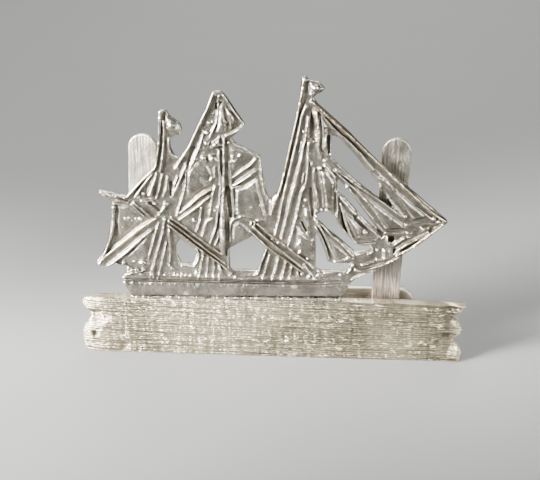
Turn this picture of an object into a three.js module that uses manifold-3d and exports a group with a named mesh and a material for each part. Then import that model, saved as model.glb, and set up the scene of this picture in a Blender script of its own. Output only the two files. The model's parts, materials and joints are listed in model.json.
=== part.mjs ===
// Cap badge: a three-masted ship cast in relief, soldered along its keel to a broken plank, with two
// fold-back blades and a cross bar soldered behind.
// Millimetres. +X runs from stern to bow, +Y from the front to the back, +Z up.
// The origin is the bottom centre of the whole badge, on the surface that the plank stands on.
import * as THREE from "three";
import { mergeVertices } from "three/addons/utils/BufferGeometryUtils.js";
import Module from "manifold-3d";

// ---------------------------------------------------------------- driving dimensions

// Ship casting
const SHIP_LENGTH = 40.15; // boom end to bowsprit tip
const SHIP_HEIGHT = 25.9; // heel of the keel to the truck of the fore mast
const SHIP_OFFSET_X = -0.25; // middle of the ship's length, from the middle of the plank
const SHEET_THICKNESS = 0.7; // the ground that the relief stands on
const STAY_RELIEF = 0.5; // how far the ropes stand forward of the ground
const SPAR_RELIEF = 0.62; // how far the masts and spars stand forward of the ground
const HULL_RELIEF = 0.68; // how far the planked side stands forward of the ground
const RAIL_RELIEF = 0.4; // how far the bulwark above the deck line stands forward of the ground
const RELIEF_ROOT = 0.15; // how deep a raised part is let into the ground
const STAY_WIDTH = 0.4;
const SPAR_WIDTH = 0.55;

// Plank
const PLANK_LENGTH = 45;
const PLANK_HEIGHT = 6.95; // at its left end
const PLANK_RISE = 0.35; // how much higher its top edge is at the right end
const PLANK_THICKNESS = 1.8;
const PLANK_EDGE = 0.2; // worn round edges

// Keel seam
const SHIP_SETBACK = 0.15; // the ship's front stands this far behind the plank's front
const KEEL_RISE_LEFT = 0.22; // solder height under the heel of the keel
const KEEL_RISE_RIGHT = 0.55; // solder height under the forefoot
const SEAM_BULGE = 0.12; // the bead stands this far forward of the ship's side

// Blades and bar, all cut from one flat strip
const STRIP_THICKNESS = 0.7;
const BLADE_WIDTH = 3.3;
const BLADE_LENGTH = 18.15; // bend line to tip
const LEFT_BLADE_X = -15.1; // middle of each blade at its bend line
const RIGHT_BLADE_X = 13.35;
const BLADE_LEAN = 1.9; // degrees that both blades lean towards the bow
const FOOT_LENGTH = 5.75; // bend line down to the foot's lower end behind the plank
const BAR_HEIGHT = 3.3;
const BAR_RISE = 0.7; // the bar's top edge stands this far above the plank's higher end
const BAR_PAST_LEFT = 1.35; // how far the bar reaches past the middle of each blade
const BAR_PAST_RIGHT = 3.4;
const BAR_SOLDER_X = 9.4; // middle of the solder that ties the bar to the plank near the bow
const BAR_SOLDER_WIDTH = 2.2;

// Fits and clearances
const FILM_GAP = 0.02; // between a solder film and the metal on each side of it
const FOOT_FILM = 0.2; // room for the solder between the plank and a foot
const BAR_FILM = 0.15; // room for the solder between a foot and the bar
const BEND_CLEARANCE = 0.15; // from the bar's top edge up to the bend line
const BLADE_START = 0.25; // a blade's moving part starts this far above the bend line
const SOLDER_INSET = 0.25; // a film keeps this far inside the edges of the strip
const ARC_STEPS = 10; // segments in a round end

// ---------------------------------------------------------------- worked-out places

const SHIP_BACK = SHIP_SETBACK + HULL_RELIEF + SHEET_THICKNESS;
const SHEET_FRONT = SHIP_BACK - SHEET_THICKNESS;
const STRIP_FRONT = PLANK_THICKNESS + FOOT_FILM;
const STRIP_BACK = STRIP_FRONT + STRIP_THICKNESS;
const BAR_FRONT = STRIP_BACK + BAR_FILM;
const BAR_BACK = BAR_FRONT + STRIP_THICKNESS;
const BAR_TOP = PLANK_HEIGHT + PLANK_RISE + BAR_RISE;
const BEND_Z = BAR_TOP + BEND_CLEARANCE;
const FOOT_BOTTOM = BEND_Z - FOOT_LENGTH;
const DEPTH_MIDDLE = BAR_BACK / 2; // everything is moved forward by this, so that Y is centred
const COS_LEAN = Math.cos(THREE.MathUtils.degToRad(BLADE_LEAN));
const SIN_LEAN = Math.sin(THREE.MathUtils.degToRad(BLADE_LEAN));

// The ship is drawn once at this size, and the drawing is scaled to SHIP_LENGTH and SHIP_HEIGHT.
const DRAWN = { left: -20.3, right: 19.85, keel: 7.4, top: 33.3 };
const shipScaleX = SHIP_LENGTH / (DRAWN.right - DRAWN.left);
const shipScaleZ = SHIP_HEIGHT / (DRAWN.top - DRAWN.keel);
const drawnMiddle = (DRAWN.left + DRAWN.right) / 2;

function plankTop(x) {
  const share = (x + PLANK_LENGTH / 2) / PLANK_LENGTH;
  return PLANK_HEIGHT + share * PLANK_RISE;
}

const shipX = (x) => SHIP_OFFSET_X + (x - drawnMiddle) * shipScaleX;
const HEEL_X = shipX(-16.3); // the after end of the keel
const FOREFOOT_X = shipX(8.2);
const HEEL_Z = plankTop(HEEL_X) + KEEL_RISE_LEFT;
const FOREFOOT_Z = plankTop(FOREFOOT_X) + KEEL_RISE_RIGHT;
const shipZ = (z) => HEEL_Z + (z - DRAWN.keel) * shipScaleZ;
const onShip = ([x, z]) => [shipX(x), shipZ(z)];

// ---------------------------------------------------------------- the ship's drawing, [x, z]

// The outer edge above the keel, from the forefoot round by the bow, the mastheads and the stern.
const SHIP_EDGE = [
  // cutwater and bowsprit
  [8.7, 8.6], [9.2, 9.5], [10.3, 10.4], [11.8, 11.1], [13.3, 12.0], [14.9, 12.95],
  [16.2, 14.0], [18.2, 15.7], [19.85, 17.05], [19.75, 17.4],
  // outer edge of the flying jib up to the fore masthead and its pennant
  [15.5, 20.95], [12.0, 23.9], [8.0, 27.9], [5.2, 30.3], [4.7, 31.0], [4.9, 31.3],
  [5.6, 31.7], [5.9, 32.0], [5.3, 32.7], [4.0, 33.0], [3.9, 33.3], [3.35, 33.3],
  // after edge of the fore shrouds down to the main sail
  [3.15, 31.0], [2.95, 29.0], [2.3, 26.0], [1.35, 22.0], [0.9, 20.5], [-0.1, 19.3],
  // main topsail, topgallant and masthead
  [-0.45, 20.3], [-0.8, 22.0], [-1.1, 24.4], [-3.9, 25.85], [-4.3, 26.4], [-2.75, 27.9],
  [-4.95, 31.2], [-5.4, 31.6], [-6.2, 31.6], [-7.0, 30.0], [-8.9, 26.0], [-9.9, 24.0],
  // mizzen masthead and its pennant
  [-10.8, 24.4], [-11.1, 25.2], [-11.1, 26.1], [-10.7, 26.5], [-10.0, 26.7], [-9.8, 27.3],
  [-9.95, 27.9], [-11.1, 28.8], [-11.5, 29.45], [-12.3, 29.45], [-12.5, 25.5], [-12.7, 22.9],
  // gaff, leech of the spanker, boom and stern
  [-16.2, 19.35], [-19.4, 20.1], [-19.5, 19.65], [-18.0, 18.8], [-18.15, 17.5], [-18.6, 15.0],
  [-19.1, 13.2], [-20.3, 11.2], [-20.2, 10.9], [-19.0, 10.8], [-17.2, 11.3], [-16.6, 10.6],
  [-17.25, 9.4], [-16.6, 8.1],
];

// The places where the casting is pierced right through.
const SHIP_OPENINGS = [
  [[-10.3, 14.5], [-10.8, 13.7], [-10.85, 12.6], [-10.3, 11.35], [-8.9, 11.45], [-8.4, 12.8]],
  [[-4.65, 13.5], [-2.0, 15.0], [-0.55, 13.7], [-1.3, 11.2], [-1.6, 10.75], [-4.3, 10.75], [-4.65, 11.0]],
  [[5.3, 17.9], [6.6, 18.3], [7.3, 17.5], [7.45, 16.9], [8.6, 15.5], [9.7, 14.3], [11.3, 14.0],
    [11.5, 13.8], [11.2, 13.5], [9.5, 13.4], [8.3, 14.5], [6.4, 16.1], [5.2, 17.2]],
  [[5.15, 15.8], [5.2, 11.2], [5.9, 10.95], [8.8, 10.95], [9.1, 11.5], [9.1, 11.95], [7.0, 12.0],
    [6.55, 12.2], [6.1, 13.7]],
  [[7.45, 22.0], [8.7, 20.8], [10.5, 18.3], [11.9, 16.4], [11.6, 16.3], [10.0, 17.9], [8.3, 19.8],
    [7.6, 20.4]],
  [[6.7, 26.9], [7.2, 26.8], [9.2, 24.9], [12.0, 21.5], [13.4, 19.5], [13.7, 18.9], [13.3, 18.95],
    [10.5, 20.95], [7.8, 23.3], [6.7, 24.4]],
  [[13.2, 14.9], [13.7, 14.55], [14.1, 14.85], [13.9, 15.4], [13.3, 15.4]],
];

// Masts and spars: each row is [width as a share of SPAR_WIDTH, point, point, ...].
const SPARS = [
  [1.2, [-19.2, 19.85], [-15.9, 19.1]], // gaff
  [1.0, [-19.9, 11.2], [-13.2, 16.9]], // boom, upper edge
  [1.0, [-19.2, 11.05], [-13.3, 15.7]], // boom, lower edge
  [1.3, [-17.75, 18.7], [-17.85, 17.2], [-18.25, 15.2], [-18.8, 13.4], [-19.3, 12.2]], // leech rope
  [0.9, [-15.7, 18.8], [-13.7, 17.0]],
  [0.9, [-14.8, 18.9], [-12.5, 17.0]],
  [1.2, [-11.9, 29.2], [-12.0, 25.0], [-12.2, 19.0]], // mizzen mast
  [0.9, [-12.2, 17.2], [-12.4, 10.0]],
  [1.0, [-11.4, 17.1], [-9.0, 15.3], [-5.2, 12.3]], // fallen spar before the mizzen, upper edge
  [1.0, [-11.6, 16.0], [-7.0, 12.7], [-4.2, 10.3]], // and its lower edge
  [0.9, [-10.45, 16.8], [-8.0, 18.5], [-6.8, 19.8]],
  [0.9, [-10.2, 17.6], [-8.0, 19.6], [-6.6, 20.5]],
  [1.4, [-5.55, 31.2], [-5.4, 26.5], [-5.3, 9.8]], // main mast
  [0.9, [-4.3, 22.0], [-2.6, 23.3], [-1.6, 24.1]],
  [1.2, [-4.1, 20.95], [-1.6, 22.5]],
  [0.9, [-4.4, 26.0], [-1.3, 24.4]], // main topsail yard
  [0.9, [-5.0, 26.5], [-3.0, 27.85]], // main topgallant yard
  [0.9, [-1.6, 16.6], [2.0, 14.0], [4.9, 11.4]], // fallen spar abaft the fore mast, upper edge
  [0.9, [-2.0, 16.0], [1.5, 13.8]],
  [0.9, [-2.2, 15.3], [0.0, 13.5], [3.7, 10.8]],
  [1.5, [3.65, 33.0], [4.3, 26.0], [4.6, 18.0], [4.65, 10.4]], // fore mast
  [1.4, [9.7, 12.1], [13.3, 13.3], [16.4, 15.2], [19.3, 17.0]], // bowsprit
];

// Standing and running rigging: each row is [width as a share of STAY_WIDTH, point, point, ...].
const STAYS = [
  // mizzen
  [1.0, [-12.8, 22.8], [-16.1, 19.3]],
  [0.9, [-12.7, 22.6], [-15.1, 19.3]],
  [0.9, [-12.4, 22.4], [-14.2, 19.6]],
  [0.9, [-11.8, 23.6], [-11.3, 19.4]],
  [0.9, [-12.85, 16.4], [-14.0, 12.2]],
  [0.9, [-12.0, 16.4], [-13.7, 9.8]],
  [0.9, [-11.75, 14.9], [-12.9, 9.8]],
  [1.1, [-11.6, 15.4], [-11.55, 10.4]],
  // main
  [1.3, [-6.2, 31.4], [-6.8, 29.9], [-8.65, 26.0], [-9.55, 23.6], [-11.1, 19.4]],
  [1.0, [-7.2, 27.2], [-9.1, 22.7], [-10.2, 17.8]],
  [1.0, [-5.75, 31.0], [-5.7, 29.0], [-6.6, 26.6]],
  [1.0, [-6.4, 20.4], [-7.0, 17.4]],
  [1.0, [-7.85, 18.6], [-8.3, 15.3]],
  [1.0, [-6.9, 17.2], [-7.6, 14.8]],
  [1.0, [-6.1, 16.7], [-6.7, 14.1]],
  [1.0, [-8.1, 12.9], [-8.9, 11.3]],
  [1.0, [-7.6, 12.9], [-8.3, 9.6]],
  [1.0, [-7.0, 12.6], [-7.35, 9.6]],
  [1.0, [-6.3, 12.4], [-6.5, 9.6]],
  [1.0, [-4.65, 23.8], [-4.45, 21.0], [-4.15, 16.9]],
  [1.0, [-4.95, 31.0], [-3.1, 28.0]],
  [0.9, [-1.25, 24.1], [-1.0, 22.0], [-0.3, 19.4]],
  [1.0, [-4.5, 16.6], [-3.0, 17.5], [-1.4, 16.9]],
  // fore shrouds, from the masthead down to the bulwark
  [1.3, [3.5, 33.0], [3.2, 30.0], [2.55, 26.0], [1.5, 21.0], [0.3, 17.3]],
  [1.1, [3.85, 30.0], [3.0, 26.0], [1.95, 21.0], [0.9, 16.4]],
  [1.1, [4.05, 28.0], [3.5, 25.0], [2.7, 21.0], [1.6, 15.6]],
  [1.1, [4.15, 26.0], [3.8, 22.0], [3.0, 18.0], [2.2, 15.0]],
  [1.1, [-0.4, 13.6], [-1.3, 10.4]],
  [1.1, [0.1, 13.0], [-0.9, 9.7]],
  [1.1, [1.05, 12.6], [0.3, 9.7]],
  [1.1, [1.9, 12.0], [1.2, 9.7]],
  [1.1, [2.6, 11.5], [2.4, 9.9]],
  // head sails
  [1.1, [5.1, 30.0], [8.0, 27.5], [12.0, 23.5], [15.5, 20.6], [19.5, 17.3]],
  [0.9, [5.3, 29.2], [7.1, 26.8], [12.2, 21.6], [15.8, 17.4]],
  [1.0, [5.3, 24.6], [7.5, 23.6], [12.3, 19.9], [15.8, 17.2]],
  [1.0, [5.7, 26.0], [7.2, 22.2], [9.3, 20.5], [12.9, 15.9]],
  [1.0, [7.8, 20.0], [9.8, 17.9], [12.2, 15.1]],
  [1.0, [5.2, 16.9], [7.2, 15.1], [9.7, 12.7]],
  [1.0, [5.9, 24.0], [5.9, 18.5]],
  [1.0, [7.4, 22.0], [7.3, 17.8]],
];

// The planked side between the keel and the deck line, above the forefoot and the heel.
const HULL_SIDE = [
  [8.7, 8.6], [9.2, 9.5], [8.6, 9.7], [5.0, 9.45], [-5.0, 9.35], [-17.2, 9.3], [-16.6, 8.1],
];
// The bulwark above the deck line.
const BULWARK = [
  [9.2, 9.4], [9.3, 12.0], [8.7, 10.9], [5.9, 10.8], [5.0, 10.15], [-16.5, 10.15], [-17.1, 9.3],
];

// ---------------------------------------------------------------- the plank's broken ends

// Each row is [how far the outline draws in from the end, share of the plank's height there].
const LEFT_END = [
  [2.5, 1.0], [1.0, 0.985], [0.3, 0.94], [0.1, 0.86], [0.5, 0.75], [1.1, 0.69], [1.15, 0.61],
  [0.8, 0.53], [0.25, 0.44], [0.0, 0.33], [0.0, 0.17], [0.2, 0.0],
];
const RIGHT_END = [
  [0.35, 0.0], [0.3, 0.08], [0.2, 0.17], [0.5, 0.25], [1.1, 0.34], [1.15, 0.39], [0.5, 0.47],
  [0.25, 0.56], [0.5, 0.64], [0.8, 0.71], [1.6, 0.75], [1.0, 0.79], [0.5, 0.84], [0.3, 0.91],
  [0.0, 0.955], [3.0, 0.985], [7.0, 1.0],
];

// ---------------------------------------------------------------- geometry helpers

const wasm = await Module();
wasm.setup();

// A closed three.js geometry as a manifold-3d solid.
function solidOf(geometry) {
  const bare = geometry.index ? geometry.toNonIndexed() : geometry.clone();
  bare.deleteAttribute("normal");
  bare.deleteAttribute("uv");
  const merged = mergeVertices(bare, 1e-4);
  const mesh = new wasm.Mesh({
    numProp: 3,
    vertProperties: merged.attributes.position.array,
    triVerts: new Uint32Array(merged.index.array),
  });
  return new wasm.Manifold(mesh);
}

function geometryOf(solid) {
  const { numProp, vertProperties, triVerts } = solid.getMesh();
  const positions = new Float32Array((vertProperties.length / numProp) * 3);
  for (let i = 0; i < positions.length / 3; i += 1) {
    positions.set(vertProperties.subarray(i * numProp, i * numProp + 3), i * 3);
  }
  const geometry = new THREE.BufferGeometry();
  geometry.setAttribute("position", new THREE.BufferAttribute(positions, 3));
  geometry.setIndex(new THREE.BufferAttribute(new Uint32Array(triVerts), 1));
  geometry.computeVertexNormals();
  return geometry;
}

// A flat plate with the outline [x, z] that fills the depth from front to back.
function plate(outline, front, back, { holes = [], edge = 0 } = {}) {
  const toVector = ([x, z]) => new THREE.Vector2(x, z);
  const shape = new THREE.Shape(outline.map(toVector));
  shape.holes = holes.map((hole) => new THREE.Path(hole.map(toVector)));
  const geometry = new THREE.ExtrudeGeometry(shape, {
    depth: back - front - 2 * edge,
    bevelEnabled: edge > 0,
    bevelThickness: edge,
    bevelSize: edge,
    bevelOffset: -edge,
    bevelSegments: 2,
  });
  geometry.rotateX(Math.PI / 2);
  geometry.translate(0, back - edge, 0);
  return geometry;
}

// The outline of a bar of even width that follows a line of points.
function ribbon(points, width) {
  const side = (sign) =>
    points.map((point, i) => {
      const before = points[Math.max(i - 1, 0)];
      const after = points[Math.min(i + 1, points.length - 1)];
      const along = new THREE.Vector2(after[0] - before[0], after[1] - before[1]).normalize();
      const reach = (sign * width) / 2;
      return [point[0] + along.y * reach, point[1] - along.x * reach];
    });
  return [...side(1), ...side(-1).reverse()];
}

// A strip of even width with a round top end, standing on `bottom` and leaning about its bend line.
function stripOutline(width, bottom, top) {
  const radius = width / 2;
  const outline = [[-radius, bottom], [radius, bottom]];
  for (let i = 0; i <= ARC_STEPS; i += 1) {
    const angle = (Math.PI * i) / ARC_STEPS;
    outline.push([radius * Math.cos(angle), top - radius + radius * Math.sin(angle)]);
  }
  return outline;
}

// Turns an outline by the blades' lean about the bend line, and moves it to that blade's place.
function leaning(outline, x) {
  return outline.map(([u, z]) => {
    const rise = z - BEND_Z;
    return [x + u * COS_LEAN + rise * SIN_LEAN, BEND_Z - u * SIN_LEAN + rise * COS_LEAN];
  });
}

// ---------------------------------------------------------------- materials

function metal(color, roughness) {
  return new THREE.MeshStandardMaterial({ color, roughness, metalness: 1 });
}

// ---------------------------------------------------------------- sub-parts

function shipCasting() {
  const keel = [[HEEL_X, HEEL_Z], [FOREFOOT_X, FOREFOOT_Z]];
  const root = SHEET_FRONT + RELIEF_ROOT;
  const sheet = plate([...keel, ...SHIP_EDGE.map(onShip)], SHEET_FRONT, SHIP_BACK, {
    holes: SHIP_OPENINGS.map((opening) => opening.map(onShip)),
  });
  const raised = (outline, relief) => plate(outline, SHEET_FRONT - relief, root);
  const reliefs = [
    raised([...keel, ...HULL_SIDE.map(onShip)], HULL_RELIEF),
    raised(BULWARK.map(onShip), RAIL_RELIEF),
    ...SPARS.map(([share, ...line]) =>
      raised(ribbon(line.map(onShip), share * SPAR_WIDTH), SPAR_RELIEF)),
    ...STAYS.map(([share, ...line]) =>
      raised(ribbon(line.map(onShip), share * STAY_WIDTH), STAY_RELIEF)),
  ];
  return geometryOf(reliefs.reduce((ship, part) => ship.add(solidOf(part)), solidOf(sheet)));
}

function logPlank() {
  const half = PLANK_LENGTH / 2;
  const left = LEFT_END.map(([inset, share]) => [inset - half, share * plankTop(inset - half)]);
  const right = RIGHT_END.map(([inset, share]) => [half - inset, share * plankTop(half - inset)]);
  return plate([...left, ...right], 0, PLANK_THICKNESS, { edge: PLANK_EDGE });
}

// The bead that joins the keel to the plank's top edge, as a wedge that follows both.
function keelSolder() {
  const outline = [
    [HEEL_X, plankTop(HEEL_X) + FILM_GAP],
    [FOREFOOT_X, plankTop(FOREFOOT_X) + FILM_GAP],
    [FOREFOOT_X, FOREFOOT_Z - FILM_GAP],
    [HEEL_X, HEEL_Z - FILM_GAP],
  ];
  return plate(outline, SHIP_SETBACK - SEAM_BULGE, SHIP_BACK);
}

function backBar() {
  const radius = BAR_HEIGHT / 2;
  const rightCentre = RIGHT_BLADE_X + BAR_PAST_RIGHT - radius;
  const leftCentre = LEFT_BLADE_X - BAR_PAST_LEFT + radius;
  const outline = [];
  for (const [centre, turn] of [[rightCentre, -0.5], [leftCentre, 0.5]]) {
    for (let i = 0; i <= ARC_STEPS; i += 1) {
      const angle = Math.PI * (turn + i / ARC_STEPS);
      outline.push([centre + radius * Math.cos(angle), BAR_TOP - radius + radius * Math.sin(angle)]);
    }
  }
  return plate(outline, BAR_FRONT, BAR_BACK);
}

function blade(x) {
  const outline = stripOutline(BLADE_WIDTH, BEND_Z + BLADE_START, BEND_Z + BLADE_LENGTH);
  return plate(leaning(outline, x), STRIP_FRONT, STRIP_BACK);
}

function rectangle(halfWidth, bottom, top) {
  return [[-halfWidth, bottom], [halfWidth, bottom], [halfWidth, top], [-halfWidth, top]];
}

function bladeFoot(x) {
  const outline = rectangle(BLADE_WIDTH / 2, FOOT_BOTTOM, BEND_Z - FILM_GAP);
  return plate(leaning(outline, x), STRIP_FRONT, STRIP_BACK);
}

// A solder film between the plank's back and a foot, below the plank's top edge.
function footSolder(x) {
  const halfWidth = BLADE_WIDTH / 2 - SOLDER_INSET;
  const outline = rectangle(halfWidth, FOOT_BOTTOM + SOLDER_INSET, PLANK_HEIGHT - SOLDER_INSET);
  return plate(leaning(outline, x), PLANK_THICKNESS + FILM_GAP, STRIP_FRONT - FILM_GAP);
}

// A solder film between a foot and the bar behind it.
function barSolder(x) {
  const halfWidth = BLADE_WIDTH / 2 - SOLDER_INSET;
  const outline = rectangle(halfWidth, BAR_TOP - BAR_HEIGHT + SOLDER_INSET, BAR_TOP - SOLDER_INSET);
  return plate(leaning(outline, x), STRIP_BACK + FILM_GAP, BAR_FRONT - FILM_GAP);
}

// The block of solder that ties the bar to the plank's back near the bow.
function bowBarSolder() {
  const bottom = BAR_TOP - BAR_HEIGHT + SOLDER_INSET;
  const outline = rectangle(BAR_SOLDER_WIDTH / 2, bottom, PLANK_HEIGHT - SOLDER_INSET);
  const placed = outline.map(([u, z]) => [BAR_SOLDER_X + u, z]);
  return plate(placed, PLANK_THICKNESS + FILM_GAP, BAR_FRONT - FILM_GAP);
}

// ---------------------------------------------------------------- assembly

const polishedSilver = metal(0xd6d3cb, 0.28);
const brushedSilver = metal(0xc3bcae, 0.5);
const nickelStrip = metal(0xb9b2a2, 0.42);
const solderMetal = metal(0xcfcbc0, 0.35);

const group = new THREE.Group();
function put(name, geometry, material) {
  const mesh = new THREE.Mesh(geometry, material.clone());
  mesh.name = name;
  mesh.position.y = -DEPTH_MIDDLE;
  group.add(mesh);
}

put("ship_casting", shipCasting(), polishedSilver);
put("log_plank", logPlank(), brushedSilver);
put("keel_solder", keelSolder(), solderMetal);
put("back_bar", backBar(), nickelStrip);
put("bow_bar_solder", bowBarSolder(), solderMetal);
for (const [side, x] of [["left", LEFT_BLADE_X], ["right", RIGHT_BLADE_X]]) {
  put(`${side}_blade`, blade(x), nickelStrip);
  put(`${side}_blade_foot`, bladeFoot(x), nickelStrip);
  put(`${side}_foot_solder`, footSolder(x), solderMetal);
  put(`${side}_bar_solder`, barSolder(x), solderMetal);
}

export default group;
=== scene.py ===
"""Cap badge: a three-masted ship in cast relief on a broken plank, with two fold-back blades.

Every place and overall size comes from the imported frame. A piece is modelled at one unit to the
millimetre and brought to metres when it is finished.
"""

import json
import math
import random

import bpy
from bpy.props import FloatProperty, FloatVectorProperty, PointerProperty
from bpy.types import Operator, Panel, PropertyGroup
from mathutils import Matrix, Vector
from mathutils.kdtree import KDTree


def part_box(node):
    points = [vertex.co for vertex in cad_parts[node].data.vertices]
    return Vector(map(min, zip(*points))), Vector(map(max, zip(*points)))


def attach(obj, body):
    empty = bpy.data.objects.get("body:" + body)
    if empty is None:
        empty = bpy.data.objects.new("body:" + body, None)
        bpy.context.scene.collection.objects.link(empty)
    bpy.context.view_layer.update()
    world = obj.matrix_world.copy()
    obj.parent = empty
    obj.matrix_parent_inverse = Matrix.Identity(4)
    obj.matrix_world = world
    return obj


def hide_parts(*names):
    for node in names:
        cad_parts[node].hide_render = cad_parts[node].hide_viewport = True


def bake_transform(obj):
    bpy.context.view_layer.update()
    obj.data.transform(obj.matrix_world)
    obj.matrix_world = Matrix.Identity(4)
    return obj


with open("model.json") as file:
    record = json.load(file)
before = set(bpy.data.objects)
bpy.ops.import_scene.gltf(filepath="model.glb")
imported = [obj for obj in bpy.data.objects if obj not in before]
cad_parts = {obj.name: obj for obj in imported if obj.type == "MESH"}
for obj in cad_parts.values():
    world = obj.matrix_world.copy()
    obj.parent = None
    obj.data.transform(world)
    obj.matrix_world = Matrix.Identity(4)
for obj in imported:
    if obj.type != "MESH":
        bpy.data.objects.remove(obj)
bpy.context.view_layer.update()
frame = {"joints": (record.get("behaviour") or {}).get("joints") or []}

bl_info = {
    "name": "Ship Cap Badge",
    "version": (1, 0, 0),
    "blender": (4, 5, 0),
    "location": "View3D > Sidebar > Badge",
    "description": "Models a ship cap badge with its plank, solder, bar and blades",
    "category": "Add Mesh",
}

MM = 0.001
MOST_TRIANGLES = 190000

# The ship is drawn in millimetres inside this rectangle, which is fitted to the frame's casting.
DRAWN_LEFT, DRAWN_RIGHT = -20.3, 19.85
DRAWN_KEEL, DRAWN_TOP = 7.4, 33.3


def node_box(node):
    """Lowest and highest corner of a frame node, in millimetres."""
    low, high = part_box(node)
    return low / MM, high / MM


SHIP_LOW, SHIP_HIGH = node_box("ship_casting")
PLANK_LOW, PLANK_HIGH = node_box("log_plank")
SEAM_LOW, SEAM_HIGH = node_box("keel_solder")
BAR_LOW, BAR_HIGH = node_box("back_bar")
BEND_AT = {joint["child"]: Vector(joint["pos_m"]) / MM for joint in frame["joints"]}

# The ship's relief, in millimetres from the face of its ground: pieces and pockets go into it,
# ropes and lumps stand before it, and the margin takes a cutter clear of both faces.
ROOT_DEPTH = 0.2
POCKET_DEPTH = 0.35
CUTTER_MARGIN = 1
ROPE_SEAT = 0.12
ROPE_RADIUS_SHARE = 0.43
LUMP_SEAT = 0.18
LUMP_SQUASH = (1, 0.95, 0.9)

# Lines lifted by the first or more, and by less than the second, are stout spars of tan metal.
TAN_LIFTS = (0.06, 0.2)
TAN_REACH = 0.45
SPOTS_TO_A_STRETCH = 8
RELIEF_START, RELIEF_RISE = 0.04, 0.12

# The plank: how finely it is divided, then its worn edges, ruled lines and knocks in millimetres.
PLANK_COLUMNS, PLANK_ROWS = 320, 200
LEFT_WEAR, RIGHT_WEAR = 2.8, 0.5
DEEPEST_WEAR = 1.1
BACK_WEAR_SHARE = 0.4
RULED_PITCH = 0.27
RULED_SLANT = 60
KNOCKS = 70
KNOCK_MARGIN = 1.5
KNOCK_BOTTOM, KNOCK_TOP = 0.3, 6.9
KNOCK_RADIUS = (0.12, 0.3)
KNOCK_DEPTH = (0.06, 0.14)
LIP_SHARE = 0.7

# The blades, in millimetres, with the share of its brightness that each one's metal keeps under
# painted shade, and up to where it is blushed.
BLADE_WIDTH = 3.3
BLADE_LEAN = math.radians(1.9)
BLADE_PAINTED_LIGHTNESS = {"left": 0.95, "right": 0.52}
BLUSH_HEIGHT = {"left": 2.0, "right": 8.5, "bar": 2.0}
ARC_STEPS = 16
STRIP_WAVE = 1.8

# The bead along the keel, in millimetres: its front, core and stern end, then its lumps, whose
# radius is a share of the bead's height and whose step is a share of that radius.
BEAD_FRONT = 0.16
BEAD_CORE = 0.3
BEAD_CORE_STERN, BEAD_STERN = 0.24, 0.22
BEAD_LUMP_SEAT = 0.14
BEAD_LUMP_RADIUS = (0.26, 0.55)
BEAD_LUMP_STRETCH = (1.2, 3.6)
BEAD_LUMP_STEP = (1.2, 3.4)
BEAD_LUMP_WANDER = 0.05

# Lumps along the edge of each run of solder behind the plank, with their radius in millimetres.
EDGE_LUMPS = 26
EDGE_LUMP_RADIUS = (0.14, 0.26)

# Soft lights: name, place, size, watts, spread and what each one aims at, in metres.
SHIP_MIDDLE = (0, 0, 0.014)
SOFT_LIGHTS = [
    ("key_light", (-0.2, -0.12, 0.16), 0.12, 0.95, math.pi, SHIP_MIDDLE),
    ("left_box", (-0.066, -0.04, 0.034), 0.05, 0.15, 0.7, SHIP_MIDDLE),
    ("left_pool", (-0.085, 0.0, 0.05), 0.04, 0.11, 1.7, (-0.072, 0, 0)),
    ("right_box", (0.07, -0.05, 0.034), 0.05, 0.014, 0.8, SHIP_MIDDLE),
    ("front_light", (0.12, -0.2, 0.26), 0.16, 0.12, math.pi, SHIP_MIDDLE),
    ("top_light", (0.0, 0.1, 0.3), 0.25, 0.65, math.pi, SHIP_MIDDLE),
    ("back_light", (0.0, 0.5, 0.5), 0.4, 7.0, math.pi, (0, 0.4, 0)),
]
SKY_STRENGTH = 0.26
FLOOR_SIZE = 10


# ------------------------------------------------------------------ the ship's drawing, (x, z)

# The casting's edge, from the heel of the keel round by the bow, the mastheads and the stern.
SHIP_EDGE = [
    (-16.3, 7.4), (8.2, 8.0), (8.7, 8.6), (9.2, 9.5), (10.3, 10.4), (11.8, 11.1), (13.3, 12.0),
    (14.9, 12.95), (16.2, 14.0), (18.2, 15.7), (19.85, 17.05), (19.75, 17.4),
    (15.5, 20.95), (12.0, 23.9), (8.0, 27.9), (5.2, 30.3), (4.7, 31.0), (4.9, 31.3),
    (5.6, 31.7), (5.9, 32.0), (5.3, 32.7), (4.0, 33.0), (3.9, 33.3), (3.35, 33.3),
    (3.15, 31.0), (2.95, 29.0), (2.3, 26.0), (1.35, 22.0), (0.9, 20.5), (-0.1, 19.3),
    (-0.45, 20.3), (-0.8, 22.0), (-1.1, 24.4), (-3.9, 25.85), (-4.3, 26.4), (-2.75, 27.9),
    (-4.95, 31.2), (-5.4, 31.6), (-6.2, 31.6), (-7.0, 30.0), (-8.9, 26.0), (-9.9, 24.0),
    (-10.8, 24.4), (-11.1, 25.2), (-11.1, 26.1), (-10.7, 26.5), (-10.0, 26.7), (-9.8, 27.3),
    (-9.95, 27.9), (-11.1, 28.8), (-11.5, 29.45), (-12.3, 29.45), (-12.5, 25.5), (-12.7, 22.9),
    (-16.2, 19.35), (-19.4, 20.1), (-19.5, 19.65), (-18.0, 18.8), (-18.15, 17.5), (-18.6, 15.0),
    (-19.1, 13.2), (-20.3, 11.2), (-20.2, 10.9), (-19.0, 10.8), (-17.2, 11.3), (-16.6, 10.6),
    (-17.25, 9.4), (-16.6, 8.1),
]

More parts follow.
